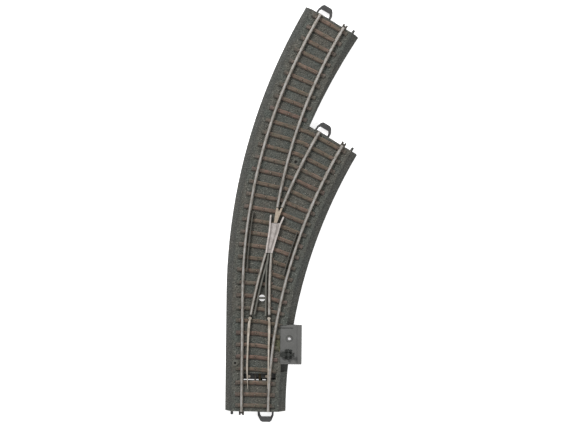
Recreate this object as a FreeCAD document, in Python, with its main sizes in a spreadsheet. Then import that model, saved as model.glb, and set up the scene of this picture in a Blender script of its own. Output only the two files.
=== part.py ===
import FreeCAD, Part
import Sketcher
import math
import os

# Right-hand curved turnout with moulded roadbed, H0 gauge, worked by a hand lever.
# Frame: origin at the middle of the toe end on the surface the roadbed stands on,
# +Y along the track away from the toe, +X to the right, +Z up. Millimetres.

V3 = FreeCAD.Vector
doc = FreeCAD.newDocument("turnout")
sheet = doc.addObject("Spreadsheet::Sheet", "Params")

# ---------------------------------------------------------------- dimensions
DIMS = [
    ("curveRadius", 360.0), ("curveAngle", 30.0), ("leadStraight", 77.5),
    ("railOffset", 8.8), ("railBase", 8.0), ("railHeight", 2.3),
    ("headHalf", 0.55), ("footHalf", 1.0), ("webHalf", 0.32),
    ("bedHalf", 20.0), ("deckHalf", 15.6), ("kerb", 1.0), ("deckTop", 7.4),
    ("deckThick", 1.8), ("wallThick", 1.6), ("endWall", 2.0),
    ("tieTop", 8.0), ("tieWidth", 2.8), ("tieEnd", 13.0),
    ("tiePitchOuter", 8.1), ("tiePitchInner", 7.9), ("tieFirst", 4.25),
    ("slotX", -9.9), ("slotEnd", 13.6), ("slotY", 20.6), ("slotTop", 25.2),
    ("heelY", 61.5), ("tipY", 15.5), ("bladeSwing", 4.25), ("bladeTop", 10.25),
    ("bladeBase", 8.05), ("driveY", 23.35), ("throwTravel", 2.905),
    ("heelPinRadius", 0.5), ("heelBoreRadius", 0.56), ("drivePinRadius", 0.45),
    ("barBase", 3.2), ("barThick", 1.4), ("sliderBase", 2.0), ("sliderThick", 1.2),
    ("boxLeft", 16.1), ("boxRight", 30.3), ("boxLow", 31.3), ("boxHigh", 57.2),
    ("boxWall", 1.2), ("plateBase", 5.6), ("plateThick", 1.4), ("floorThick", 1.0),
    ("leverX", 21.7), ("leverY", 37.9), ("leverZ", 8.6), ("leverTilt", 14.0),
    ("fingerLength", 6.0), ("axleRadius", 0.5), ("axleLength", 7.0),
    ("lanternX", 22.2), ("lanternY", 48.0), ("lanternBore", 1.0),
    ("lanternRadius", 1.9), ("crankRadius", 2.054), ("crankPin", 0.5),
    ("loopBase", 2.0), ("loopThick", 2.2), ("loopReach", 7.1),
    ("pegRadius", 0.9), ("pegReach", 2.6), ("pegOffset", 15.4), ("pegHeight", 3.0),
    ("clipBase", 4.7), ("clipThick", 0.9), ("clipReach", 2.65),
    ("stripBase", 5.2), ("stripThick", 0.4), ("stripWidth", 1.2),
    ("studRadius", 0.35), ("studTop", 8.5),
    ("frogFloor", 1.1), ("checkHalf", 0.35), ("checkGap", 2.5),
    ("guardHeight", 1.8), ("holeX", 4.0), ("holeY", 74.8), ("holeRadius", 2.2),
    ("screwRadius", 0.9), ("screwHeadRadius", 1.6),
]
for row, (name, value) in enumerate(DIMS, start=1):
    sheet.set("A%d" % row, name)
    sheet.set("B%d" % row, "%g" % value)
    sheet.setAlias("B%d" % row, name)
doc.recompute()


class Num:
    """A number that remembers the sheet expression it comes from."""

    def __init__(self, value, text):
        self.value, self.text = float(value), text

    def _mix(self, other, sign, flip=False):
        if isinstance(other, Num):
            v, t = other.value, "(" + other.text + ")"
        else:
            v, t = float(other), "(%.9g)" % other
        a, b = (v, self.value) if flip else (self.value, v)
        ta, tb = (t, "(" + self.text + ")") if flip else ("(" + self.text + ")", t)
        out = {"+": a + b, "-": a - b, "*": a * b}.get(sign)
        if out is None:
            out = a / b
        return Num(out, ta + " " + sign + " " + tb)

    def __add__(self, o):
        return self._mix(o, "+")

    def __radd__(self, o):
        return self._mix(o, "+", True)

    def __sub__(self, o):
        return self._mix(o, "-")

    def __rsub__(self, o):
        return self._mix(o, "-", True)

    def __mul__(self, o):
        return self._mix(o, "*")

    def __rmul__(self, o):
        return self._mix(o, "*", True)

    def __truediv__(self, o):
        return self._mix(o, "/")

    def __neg__(self):
        return Num(-self.value, "-(" + self.text + ")")

    def __float__(self):
        return self.value


P = {name: Num(sheet.get(name), "Params." + name) for name, _ in DIMS}
F = {name: float(num) for name, num in P.items()}
NODES = []


def keep(obj, label):
    obj.Label = label
    NODES.append(obj)
    return obj


def bind(obj, prop, num):
    """Sets a property to a number, and binds it when the number comes from the sheet."""
    if isinstance(num, Num):
        obj.setExpression(prop, num.text)
    return float(num)


def place(obj, x, y, z, rot=None):
    obj.Placement = FreeCAD.Placement(V3(float(x), float(y), float(z)), rot or FreeCAD.Rotation())
    for axis, num in (("x", x), ("y", y), ("z", z)):
        if isinstance(num, Num):
            obj.setExpression("Placement.Base." + axis, num.text)


def box(name, x, y, z, lx, ly, lz, rot=None):
    o = doc.addObject("Part::Box", name)
    o.Length, o.Width, o.Height = bind(o, "Length", lx), bind(o, "Width", ly), bind(o, "Height", lz)
    place(o, x, y, z, rot)
    return o


def cyl(name, x, y, z, r, h, rot=None):
    o = doc.addObject("Part::Cylinder", name)
    o.Radius, o.Height = bind(o, "Radius", r), bind(o, "Height", h)
    place(o, x, y, z, rot)
    return o


def fuse(name, parts):
    o = doc.addObject("Part::MultiFuse", name)
    o.Shapes = parts
    o.Refine = True
    return o


def cut(name, base, tool):
    o = doc.addObject("Part::Cut", name)
    o.Base, o.Tool = base, tool
    return o


def origin_plane(body, role):
    return [f for f in body.Origin.OriginFeatures if f.Role == role][0]


def sketch_on(body, name, role, offset):
    s = body.newObject("Sketcher::SketchObject", name)
    s.AttachmentSupport = [(origin_plane(body, role), "")]
    s.MapMode = "FlatFace"
    s.AttachmentOffset = FreeCAD.Placement(V3(0, 0, float(offset)), FreeCAD.Rotation())
    if isinstance(offset, Num):
        s.setExpression("AttachmentOffset.Base.z", offset.text)
    return s


def draw_loop(s, points):
    """A closed polygon whose corners are held by dimensions from the sketch origin."""
    first = s.GeometryCount
    n = len(points)
    vec = [V3(float(a), float(b), 0) for a, b in points]
    for i in range(n):
        s.addGeometry(Part.LineSegment(vec[i], vec[(i + 1) % n]), False)
    for i in range(n):
        s.addConstraint(Sketcher.Constraint("Coincident", first + i, 2, first + (i + 1) % n, 1))
    for i, (a, b) in enumerate(points):
        for kind, num in (("DistanceX", a), ("DistanceY", b)):
            k = s.addConstraint(Sketcher.Constraint(kind, -1, 1, first + i, 1, float(num)))
            if isinstance(num, Num):
                tag = "%s_%d_%d" % (kind, first, i)
                s.renameConstraint(k, tag)
                s.setExpression("Constraints." + tag, num.text)


def draw_circle(s, cx, cy, r):
    g = s.addGeometry(Part.Circle(V3(float(cx), float(cy), 0), V3(0, 0, 1), float(r)), False)
    for kind, num in (("DistanceX", cx), ("DistanceY", cy)):
        k = s.addConstraint(Sketcher.Constraint(kind, -1, 1, g, 3, float(num)))
        if isinstance(num, Num):
            s.renameConstraint(k, "%s_c%d" % (kind, g))
            s.setExpression("Constraints.%s_c%d" % (kind, g), num.text)
    k = s.addConstraint(Sketcher.Constraint("Radius", g, float(r)))
    if isinstance(r, Num):
        s.renameConstraint(k, "radius_c%d" % g)
        s.setExpression("Constraints.radius_c%d" % g, r.text)


def plate(name, layers):
    """A body of stacked pads; each layer is (polygons, circles, base height, thickness)."""
    body = doc.addObject("PartDesign::Body", name)
    for n, (polygons, circles, z, t) in enumerate(layers):
        s = sketch_on(body, "%s_sketch%d" % (name, n), "XY_Plane", z)
        for pts in polygons:
            draw_loop(s, pts)
        for c in circles:
            draw_circle(s, *c)
        doc.recompute()
        pad = body.newObject("PartDesign::Pad", "%s_pad%d" % (name, n))
        pad.Profile = s
        pad.Length = bind(pad, "Length", t)
        doc.recompute()
    body.Tip = pad
    return body


# ---------------------------------------------------------------- the two routes
R, ANG, LEAD = F["curveRadius"], F["curveAngle"], F["leadStraight"]
ARC = R * math.radians(ANG)
INNER_LEN, OUTER_LEN = ARC, LEAD + ARC


def outer_at(s, off=0.0):
    """Point at distance s along the straight-then-curved route, off to the right."""
    if s <= LEAD:
        return V3(off, s, 0), V3(0, 1, 0)
    a = (s - LEAD) / R
    return V3(R - (R - off) * math.cos(a), LEAD + (R - off) * math.sin(a), 0), V3(math.sin(a), math.cos(a), 0)


def inner_at(s, off=0.0):
    """Point at distance s along the curved route, off to the right."""
    a = s / R
    return V3(R - (R - off) * math.cos(a), (R - off) * math.sin(a), 0), V3(math.sin(a), math.cos(a), 0)


def rail_x(radius, cy, y):
    return R - math.sqrt(radius * radius - (y - cy) ** 2)


RL, RR = R + F["railOffset"], R - F["railOffset"]


def section_face(points, y):
    w = Part.makePolygon([V3(u, y, z) for u, z in points + points[:1]])
    return Part.Face(w)


def swept(points, cy, a0, a1):
    """Section (right offset, height) revolved clockwise about the curve centre from angle a0 to a1."""
    f = section_face(points, cy)
    f.rotate(V3(R, cy, 0), V3(0, 0, 1), -a0)
    return f.revolve(V3(R, cy, 0), V3(0, 0, 1), -(a1 - a0))


def prism(points, z, h):
    w = Part.makePolygon([V3(p[0], p[1], z) for p in list(points) + list(points)[:1]])
    return Part.Face(w).extrude(V3(0, 0, h))


def feature(name, shape):
    o = doc.addObject("Part::Feature", name)
    o.Shape = shape
    o.Placement = shape.Placement
    return o


def strip(points, half, z, h):
    """An upright bar of constant width that follows a polyline in plan."""
    left, right = [], []
    for i, p in enumerate(points):
        a = points[max(i - 1, 0)]
        b = points[min(i + 1, len(points) - 1)]
        d = V3(b[0] - a[0], b[1] - a[1], 0)
        d.normalize()
        left.append((p[0] - d.y * half, p[1] + d.x * half))
        right.append((p[0] + d.y * half, p[1] - d.x * half))
    return left + right[::-1]


# ---------------------------------------------------------------- roadbed
HB, HD, KB, DT = F["bedHalf"], F["deckHalf"], F["kerb"], F["deckTop"]
UNDER = DT - F["deckThick"]
outer_sec = [(-HB, 0), (HB, 0), (HB, KB), (HD, DT), (-HD, DT), (-HB, KB)]
slope = (HB - HD) / (DT - KB)
WT = F["wallThick"]
in_top = HB - slope * (UNDER - KB) - WT * math.sqrt(1 + slope * slope)
inner_sec = [(-HB + WT, -1), (HB - WT, -1), (HB - WT, KB * 0.9), (in_top, UNDER), (-in_top, UNDER), (-HB + WT, KB * 0.9)]

straight = section_face(outer_sec, 0).extrude(V3(0, LEAD, 0))
body_outer = straight.fuse(swept(outer_sec, LEAD, 0, ANG))
body_inner = swept(outer_sec, 0, 0, ANG + 0.08)   # a little long, the end plane trims it
bed = body_outer.fuse(body_inner)

# where the two branches part, the outer one is trimmed so that a track can be joined to the inner one
E_IN, H_IN = inner_at(INNER_LEN)
N_IN = V3(H_IN.y, -H_IN.x, 0)
JOIN = E_IN - N_IN * 16.6
CORNER, _ = outer_at(OUTER_LEN, HB)


def trim_prism(grow):
    """The space beyond the inner end and right of the outer branch, grown by a wall thickness."""
    j = JOIN - H_IN * (grow * 1.25) - N_IN * grow
    mid = V3(50.0, 221.4, 0) + V3(-0.88, 0.47, 0) * grow
    end = CORNER + V3(-0.87, 0.5, 0) * grow
    far = 110.0
    arc = Part.Arc(j, mid, end).toShape()
    a = E_IN - H_IN * (grow * 1.25) + N_IN * far
    pts = [end, V3(end.x + far, end.y + 2, 0), a, j]
    wire = Part.Wire([arc] + [Part.makeLine(pts[i], pts[i + 1]) for i in range(3)])
    face = Part.Face(wire)
    face.translate(V3(0, 0, -2))
    return face.extrude(V3(0, 0, 14))


# level ballast fills the wedge between the branches
w_right = JOIN + N_IN * 0.8 + H_IN * 0.9
w_left = JOIN - N_IN * 5.2 + H_IN * 0.9
wedge = prism([(14, 150), (26, 146), (w_right.x, w_right.y), (w_left.x, w_left.y)], 0, DT)
bed = bed.fuse(wedge).cut(trim_prism(0.0))

EW = F["endWall"]
d_ang = math.degrees(EW / R)
cavity = section_face(inner_sec, EW).extrude(V3(0, LEAD - EW, 0))
cavity = cavity.fuse(swept(inner_sec, LEAD, 0, ANG - d_ang))
cavity = cavity.fuse(swept(inner_sec, 0, d_ang, ANG - d_ang))
cavity = cavity.cut(trim_prism(WT))
cavity = cavity.cut(prism([(-30, -5), (40, -5), (40, EW), (-30, EW)], -2, 12))
shell = bed.cut(cavity)

# stiffening webs across the hollow
webs = []
for s_at, route in ((100, outer_at), (142, outer_at), (184, outer_at), (226, outer_at), (150, inner_at)):
    c, h = route(s_at)
    n = V3(h.y, -h.x, 0)
    a, b = (-17.2, 17.2)
    q = [c + n * a - h * 0.6, c + n * b - h * 0.6, c + n * b + h * 0.6, c + n * a + h * 0.6]
    webs.append(prism([(v.x, v.y) for v in q], 1.0, 4.1))
web = webs[0].fuse(webs[1:]).common(bed)
shell = shell.fuse(web)

# openings: throw-bar slot, box seat, pocket beside the box, see-through hole, heel bores
BX, BR, BL, BH = F["boxLeft"], F["boxRight"], F["boxLow"], F["boxHigh"]
box_seat = Part.makeBox(20, BH - BL, 12, V3(BX, BL, -1))
slot_tool = Part.makeBox(F["slotEnd"] - F["slotX"], F["slotTop"] - F["slotY"], 12, V3(F["slotX"], F["slotY"], UNDER - 2.0))
recess = Part.makeBox(8, 5.2, 9, V3(16.7, BL - 5.2, 1.0))
arm_way = Part.makeBox(5.5, BL - 21.4 + 1, 1.7, V3(12.9, 21.4, 1.8))
see_hole = Part.makeCylinder(F["holeRadius"], 14, V3(F["holeX"], F["holeY"], -2))
heel_left = V3(rail_x(RL, 0, F["heelY"]), F["heelY"], 0)
heel_right = V3(F["railOffset"], F["heelY"], 0)
heel_bores = [Part.makeCylinder(F["heelBoreRadius"], 14, V3(p.x, p.y, -2)) for p in (heel_left, heel_right)]
fix_hole = Part.makeCylinder(F["screwRadius"], 14, V3(25.4, 164.4, UNDER)).fuse(Part.makeCylinder(1.2, 0.25, V3(25.4, 164.4, UNDER - 0.25)))
fix_sink = Part.makeCone(F["screwRadius"], F["screwHeadRadius"], 0.7, V3(25.4, 164.4, DT - 0.7))
# both fixing holes are closed below by a thin skin that the first screw breaks through, with a relief above the skin
nail_hole = Part.makeCylinder(0.8, 14, V3(-13.3, 31.8, UNDER)).fuse(Part.makeCylinder(1.1, 0.25, V3(-13.3, 31.8, UNDER - 0.25)))
boss = Part.makeCylinder(1.9, 2.1, V3(-13.3, 31.8, UNDER))
skins = [Part.makeCylinder(1.9, 0.65, V3(-13.3, 31.8, UNDER - 0.65)), Part.makeCylinder(2.0, 0.65, V3(25.4, 164.4, UNDER - 0.65))]
# guide shelf under the throw bar, hung from the deck, with three fingers across the slot's open edge
shelf = Part.makeBox(24.8, 5.55, 0.9, V3(-11.0, 20.75, 0.6))
fingers = [Part.makeBox(b - a, 1.0, 0.9, V3(a, 20.05, 0.6)) for a, b in ((-11.0, -7.9), (3.4, 4.5), (6.9, 13.8))]
hangers = [Part.makeBox(b - a, 1.0, UNDER - 0.6 + 0.2, V3(a, 25.3, 0.6)) for a, b in ((-11.0, -5.0), (5.0, 12.2))]
hangers += [Part.makeBox(b - a, 0.9, UNDER - 0.6 + 0.2, V3(a, 20.05, 0.6)) for a, b in ((-11.0, -7.9), (6.9, 13.8))]
# floor of the pocket beside the box
pocket_floor = Part.makeBox(6.0, BL - 24.6, 1.0, V3(14.6, 24.6, 0)).common(bed)
shell = shell.fuse([boss, pocket_floor] + skins)
for tool in [box_seat, slot_tool, recess, arm_way, see_hole, fix_hole, fix_sink, nail_hole] + heel_bores:
    shell = shell.cut(tool)
shell = shell.fuse([shelf] + fingers + hangers)

# end faces: window for the neighbour's loop and rail clips on the right, tenon slot on the left, peg hole
ENDS = {"toe": (V3(0, 0, 0), 180.0), "inner": (E_IN, -ANG), "outer": (outer_at(OUTER_LEN)[0], -ANG)}


def at_end(shape, key):
    base, turn = ENDS[key]
    s = shape.copy()
    s.rotate(V3(0, 0, 0), V3(0, 0, 1), turn)
    s.translate(base)
    return s


WINDOW = Part.makeBox(11.5, 6.0, UNDER - 0.4, V3(1.3, -5.0, 0.4))
TENON_SLOT = Part.makeBox(10.9, 6.0, 2.3, V3(-12.45, -5.0, 1.95))
PEG_HOLE = Part.makeCylinder(1.0, 5.0, V3(-F["pegOffset"], -4.0, F["pegHeight"]), V3(0, 1, 0))
PEG_SEAT = Part.makeCylinder(F["pegRadius"] + 0.35, 5.0, V3(F["pegOffset"], -4.0, F["pegHeight"]), V3(0, 1, 0))
for key in ENDS:
    for tool in (WINDOW, TENON_SLOT, PEG_HOLE, PEG_SEAT):
        shell = shell.cut(at_end(tool, key))


# ---------------------------------------------------------------- centre contacts
def route_strip(route, s0, s1, half, z, h, off=0.0, step=6.0):
    n = max(2, int((s1 - s0) / step) + 1)
    pts = []
    for i in range(n + 1):
        p, _ = route(s0 + (s1 - s0) * i / n, off)
        pts.append((p.x, p.y))
    return prism(strip(pts, half, z, h), z, h)


SB, SH, SW = F["stripBase"], F["stripThick"], F["stripWidth"] / 2
N_OUT, N_INN = 33, 24
a_pos = [F["tieFirst"] + F["tiePitchOuter"] * i for i in range(N_OUT)]
b_pos = [F["tieFirst"] + F["tiePitchInner"] * i for i in range(N_INN)]
# the sleepers crowd a little toward the toe around the blades' heels
a_pos = [s - 0.3 - 0.8 * math.exp(-((s - 58.0) / 18.0) ** 2) for s in a_pos]
b_pos = [s - 0.4 - 0.4 * math.exp(-((s - 60.0) / 25.0) ** 2) for s in b_pos]
a_pos[1] = b_pos[1] = 11.2
a_pos[2] = b_pos[2] = 18.9


def rail_clear(p, need):
    """Distance test from a plan point to every rail line between the heels and the frog's far side."""
    y = p.y
    lines = []
    if y < 20:
        lines += []
    if 60 < y < 136:
        lines += [rail_x(RL, 0, y)]
    if y > 60:
        lines += [F["railOffset"] if y < LEAD else rail_x(RR, LEAD, y)]
    if 62 < y < 105 and (abs(p.x - rail_x(RL, 0, y) - 2.35) < 1.3 or abs(p.x - 6.55) < 1.3 or abs(p.x - 8.1) < 1.2):
        return False
    if 103 < y < 131:
        lines += [9.2, 12.0]
    return all(abs(p.x - x) > need for x in lines)


main_studs = []
for i, s_at in enumerate(a_pos):
    p, h = outer_at(s_at)
    if rail_clear(p, 2.2):
        main_studs.append(p)
branch_studs = []
for i, s_at in enumerate(b_pos):
    p, h = inner_at(s_at)
    if s_at > 68 and rail_clear(p, 2.6):
        branch_studs.append(p)
stud_height = F["studTop"] - SB - SH


def with_studs(strip_shape, points):
    out = strip_shape
    pins = []
    for p in points:
        pins.append(Part.makeCylinder(F["studRadius"], stud_height + 0.2, V3(p.x, p.y, SB + SH - 0.2)))
        pins.append(Part.makeSphere(F["studRadius"], V3(p.x, p.y, F["studTop"] - 0.0)))
    return out.fuse(pins)


strip_main = route_strip(outer_at, 2.6, OUTER_LEN - 2.6, SW, SB, SH)
p66, h66 = inner_at(67.0)
strip_branch = route_strip(inner_at, 66.0, INNER_LEN - 2.6, SW, SB, SH)
bridge = prism([(SW, 65.0), (p66.x + 0.3, 65.0), (p66.x + 0.3, 66.6), (SW, 66.6)], SB, SH)
strip_branch = strip_branch.fuse(bridge)
stud_holes = [Part.makeCylinder(F["studRadius"] + 0.05, 8, V3(p.x, p.y, UNDER - 1)) for p in main_studs + branch_studs]
# feeder posts rise to the two stock rails
FEED_Y = 70.2
feed_x = [-F["railOffset"], rail_x(RR, 0, FEED_Y)]
feed_holes = [Part.makeBox(1.1, 1.1, 6, V3(x - 0.55, FEED_Y - 0.55, UNDER - 1)) for x in feed_x]
holes = stud_holes[0].multiFuse(stud_holes[1:] + feed_holes)
shell = shell.cut(holes).removeSplitter()
keep(feature("roadbed_shell", shell), "roadbed_shell")
keep(feature("centre_strip_main", with_studs(strip_main, main_studs)), "centre_strip_main")
keep(feature("centre_strip_branch", with_studs(strip_branch, branch_studs)), "centre_strip_branch")

# ---------------------------------------------------------------- sleepers
TT, TW, TE = F["tieTop"], F["tieWidth"] / 2, F["tieEnd"]
ties = []
tie_lines = []
for i in range(N_OUT):
    po, ho = outer_at(a_pos[i])
    no = V3(ho.y, -ho.x, 0)
    left = po - no * TE
    if i < N_INN:
        pi_, hi = inner_at(b_pos[i])
        ni = V3(hi.y, -hi.x, 0)
        right = pi_ + ni * TE
        d = pi_.distanceToPoint(po)
        mid = (po + no * (d / 2) + pi_ - ni * (d / 2)) * 0.5
        hm = (ho + hi) * 0.5
        hm.normalize()
        quad = [left - ho * TW, mid - hm * TW, right - hi * TW, right + hi * TW, mid + hm * TW, left + ho * TW]
    else:
        right = po + no * TE
        quad = [left - ho * TW, right - ho * TW, right + ho * TW, left + ho * TW]
    ties.append(prism([(v.x, v.y) for v in quad], DT, TT - DT))
tie_tools = [box_seat, slot_tool, see_hole, fix_hole, trim_prism(0.0)] + heel_bores + [holes]
tie_shapes = []
for t_ in ties:
    for tool in tie_tools:
        if t_.BoundBox.intersect(tool.BoundBox):
            t_ = t_.cut(tool)
    tie_shapes += t_.Solids
keep(feature("sleepers", Part.makeCompound(tie_shapes)), "sleepers")

# ---------------------------------------------------------------- rails
B0, HH = P["railBase"], P["railHeight"]
hh, fh, wh = P["headHalf"], P["footHalf"], P["webHalf"]


def rail_section(off, z=B0, height=HH):
    """Bullhead-topped flat-bottom rail, drawn as (right offset, height)."""
    top = z + height
    pts = [(-fh, z), (fh, z), (fh, z + 0.25), (wh + 0.05, z + 0.55), (wh, top - 0.85), (hh, top - 0.65), (hh, top - 0.1), (hh - 0.1, top)]
    pts += [(-(hh - 0.1), top), (-hh, top - 0.1), (-hh, top - 0.65), (-wh, top - 0.85), (-(wh + 0.05), z + 0.55), (-fh, z + 0.25)]
    return [(off + a, b) for a, b in pts]


def check_section(off):
    """Guard rail: a thin upright on a one-sided foot."""
    ch = P["checkHalf"]
    return [(off - ch, B0), (off + ch, B0), (off + ch, B0 + 2.1), (off - ch, B0 + 2.1)]


def rail_body(name, section, centre_y, a0, a1, lead=None, lead_from=None):
    """A rail as one body: an optional straight run, then a turn about the curve centre.

    The section is drawn on the XZ plane of the body; the body is turned about the
    curve centre so that the section starts at angle a0.
    """
    body = doc.addObject("PartDesign::Body", name)
    last = None
    if lead is not None:
        s = sketch_on(body, name + "_straight", "XZ_Plane", -1.0 * lead_from if lead_from is not None else 0.0)
        draw_loop(s, section)
        doc.recompute()
        pad = body.newObject("PartDesign::Pad", name + "_run")
        pad.Profile = s
        pad.Length = bind(pad, "Length", lead)
        pad.Reversed = True
        doc.recompute()
        last = pad
    s = sketch_on(body, name + "_section", "XZ_Plane", -centre_y if isinstance(centre_y, Num) else -float(centre_y))
    draw_loop(s, section)
    g = s.addGeometry(Part.LineSegment(V3(R, 0, 0), V3(R, 20, 0)), True)
    s.addConstraint(Sketcher.Constraint("Vertical", g))
    k = s.addConstraint(Sketcher.Constraint("DistanceX", -1, 1, g, 1, R))
    s.renameConstraint(k, "turn_centre")
    s.setExpression("Constraints.turn_centre", P["curveRadius"].text)
    s.addConstraint(Sketcher.Constraint("DistanceY", -1, 1, g, 1, 0.0))
    s.addConstraint(Sketcher.Constraint("DistanceY", g, 1, g, 2, 20.0))
    doc.recompute()
    rev = body.newObject("PartDesign::Revolution", name + "_turn")
    rev.Profile = s
    rev.ReferenceAxis = (s, ["Axis0"])
    rev.Angle = bind(rev, "Angle", a1 - a0)
    rev.Reversed = True
    doc.recompute()
    body.Tip = rev
    # the far end of a clockwise turn lies ahead of the section
    if body.Shape.BoundBox.YMax < float(centre_y) + 1.0:
        rev.Reversed = False
        doc.recompute()
    if float(a0) != 0.0:
        rot = FreeCAD.Rotation(V3(0, 0, 1), -float(a0))
        c = V3(R, float(centre_y), 0)
        body.Placement = FreeCAD.Placement(c - rot.multVec(c), rot)
    return body


RO, CA = P["railOffset"], P["curveAngle"]
keep(rail_body("left_stock_rail", rail_section(-RO), P["leadStraight"], 0.0, CA, lead=P["leadStraight"]), "left_stock_rail")
keep(rail_body("right_stock_rail", rail_section(RO), 0.0, 0.0, CA), "right_stock_rail")

HEEL_GAP = 1.2
FROG_Y0, FROG_Y1 = 104.3, 134.6
a_c0 = math.degrees(math.asin((F["heelY"] + HEEL_GAP) / RL))
a_c1 = math.degrees(math.asin(FROG_Y0 / RL))
keep(rail_body("left_closure_rail", rail_section(-RO), 0.0, a_c0, a_c1), "left_closure_rail")
b_c1 = math.degrees(math.asin((FROG_Y0 - LEAD) / RR))
keep(rail_body("right_closure_rail", rail_section(RO), P["leadStraight"], 0.0, b_c1,
               lead=P["leadStraight"] - P["heelY"] - HEEL_GAP, lead_from=P["heelY"] + HEEL_GAP), "right_closure_rail")
a_e0 = math.degrees(math.asin(FROG_Y1 / RL))
keep(rail_body("inner_exit_rail", rail_section(-RO), 0.0, a_e0, CA), "inner_exit_rail")
b_e0 = math.degrees(math.asin((FROG_Y1 - LEAD) / RR))
keep(rail_body("outer_exit_rail", rail_section(RO), P["leadStraight"], b_e0, CA), "outer_exit_rail")
keep(rail_body("left_check_rail", check_section(P["checkGap"] - RO), P["leadStraight"],
               math.degrees((93.0 - LEAD) / R), math.degrees((131.0 - LEAD) / R)), "left_check_rail")
keep(rail_body("right_check_rail", check_section(RO - P["checkGap"]), 0.0,
               math.degrees(93.0 / R), math.degrees(123.0 / R)), "right_check_rail")

# ---------------------------------------------------------------- guard between the closure rails
left_leg = []
for k in range(9):
    p, _ = inner_at(63.2 + (99.8 - 63.2) * k / 8, -6.4)
    left_leg.append((p.x, p.y))
right_leg = []
for k in range(9):
    p, _ = outer_at(63.2 + (98.4 - 63.2) * k / 8, 6.55)
    right_leg.append((p.x, p.y))
x_l, x_r = left_leg[2][0], 6.55
G0, GT = P["railBase"], P["guardHeight"]
stem = [(6.55, 97.2), (7.85, 97.2), (8.6, FROG_Y0 - 0.2), (7.55, FROG_Y0 - 0.2)]
cross_left = rail_x(RL, 0, 74.8) + 2.3
guard_shapes = [prism(strip(left_leg, 0.5, 0, 0), F["railBase"], F["guardHeight"]),
                prism(strip(right_leg, 0.5, 0, 0), F["railBase"], F["guardHeight"]),
                prism(stem, F["railBase"], F["guardHeight"]),
                prism([(cross_left, 74.1), (6.4, 74.1), (6.4, 75.6), (cross_left, 75.6)], F["railBase"], F["guardHeight"] - 0.3)]
keep(feature("guard_frame", guard_shapes[0].multiFuse(guard_shapes[1:]).removeSplitter()), "guard_frame")

# ---------------------------------------------------------------- frog
wing_left = [(6.5, 104.6), (7.15, 110.0), (7.95, 115.0), (8.6, 120.0), (8.95, 125.0), (9.3, 129.6)]
wing_right = [(10.15, 104.6), (11.7, 110.0), (13.0, 114.5), (14.35, 119.0), (15.4, 123.0), (17.7, 128.3)]
floor = [(6.0, 104.6), (10.65, 104.6), (12.2, 110.0), (13.5, 114.5), (14.85, 119.0), (15.9, 123.0), (16.4, 124.2),
         (8.4, 124.2), (8.1, 120.0), (7.45, 115.0), (6.65, 110.0)]
tip = [(8.2, 107.2), (9.3, 107.2), (10.9, 113.0), (12.6, 119.0), (13.35, 124.1), (11.35, 124.1), (10.3, 119.0), (9.1, 113.0)]
keep(plate("frog_casting", [([floor], [], B0, P["frogFloor"]),
                            ([strip(wing_left, 0.5, 0, 0)], [], B0, P["railHeight"]),
                            ([strip(wing_right, 0.5, 0, 0)], [], B0, P["railHeight"]),
                            ([tip], [], B0, P["frogFloor"] + 0.5)]), "frog_casting")


def nose_edge(radius, cy, shift, ys):
    return [(rail_x(radius, cy, y) + shift, y) for y in ys]


ys = [124.4, 126.5, 129.0, 132.0, FROG_Y1 - 0.4]
b_left = nose_edge(RR, LEAD, -0.55, ys)
a_right = nose_edge(RL, 0, 0.6, ys)
notch = [(rail_x(RL, 0, FROG_Y1) - 0.6, FROG_Y1 - 0.4), (14.55, 131.6), (rail_x(RR, LEAD, FROG_Y1) + 0.55, FROG_Y1 - 0.4)]
keep(plate("frog_nose", [([b_left + notch[::-1] + a_right[::-1]], [], B0, P["railHeight"])]), "frog_nose")

# ---------------------------------------------------------------- switch blades
BT, BB = F["bladeTop"], F["bladeBase"]
SWING = F["bladeSwing"]


def blade_bar(half):
    return [(-half, BB), (half, BB), (half, BT - 0.1), (half - 0.1, BT), (-half + 0.1, BT), (-half, BT - 0.1)]


def shifted(sec, u):
    return [(a + u, z) for a, z in sec]


# space kept for a stock rail: wide at the foot, narrower at the head
def stock_space(u, side):
    """Polygon of the stock rail's outline plus running room, reaching outwards on one side."""
    far = u - 6.0 * side
    return [(far, 7.5), (u + side * 1.05, 7.5), (u + side * 1.05, 8.6), (u + side * 0.6, 8.95), (u + side * 0.6, 11.0), (far, 11.0)]


a_t, a_h = [math.degrees(math.asin(y / RL)) for y in (F["tipY"], F["heelY"])]
left_closed = swept(shifted(blade_bar(0.55), -F["railOffset"]), 0, a_t, a_h)
stock_left = section_face(stock_space(-F["railOffset"], 1), 0).extrude(V3(0, LEAD, 0))
left_closed = left_closed.cut(stock_left)
heel_disc_l = Part.makeCylinder(1.0, BT - BB - 0.1, V3(heel_left.x, heel_left.y, BB))
DY = F["driveY"]
pin_left_closed = V3(rail_x(RL, 0, DY) + 1.35, DY, 0)
lug_l = Part.makeCylinder(0.85, 0.55, V3(pin_left_closed.x, DY, BB)).fuse(
    Part.makeBox(1.5, 1.7, 0.55, V3(pin_left_closed.x - 1.5, DY - 0.85, BB)))
lug_l = lug_l.cut(stock_left)
left_blade = left_closed.fuse([heel_disc_l, lug_l])
left_blade.rotate(heel_left, V3(0, 0, 1), SWING)
keep(feature("left_switch_blade", left_blade), "left_switch_blade")
turn_l = FreeCAD.Placement(V3(0, 0, 0), FreeCAD.Rotation(V3(0, 0, 1), SWING), heel_left)
pin_left = turn_l.multVec(pin_left_closed)

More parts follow.
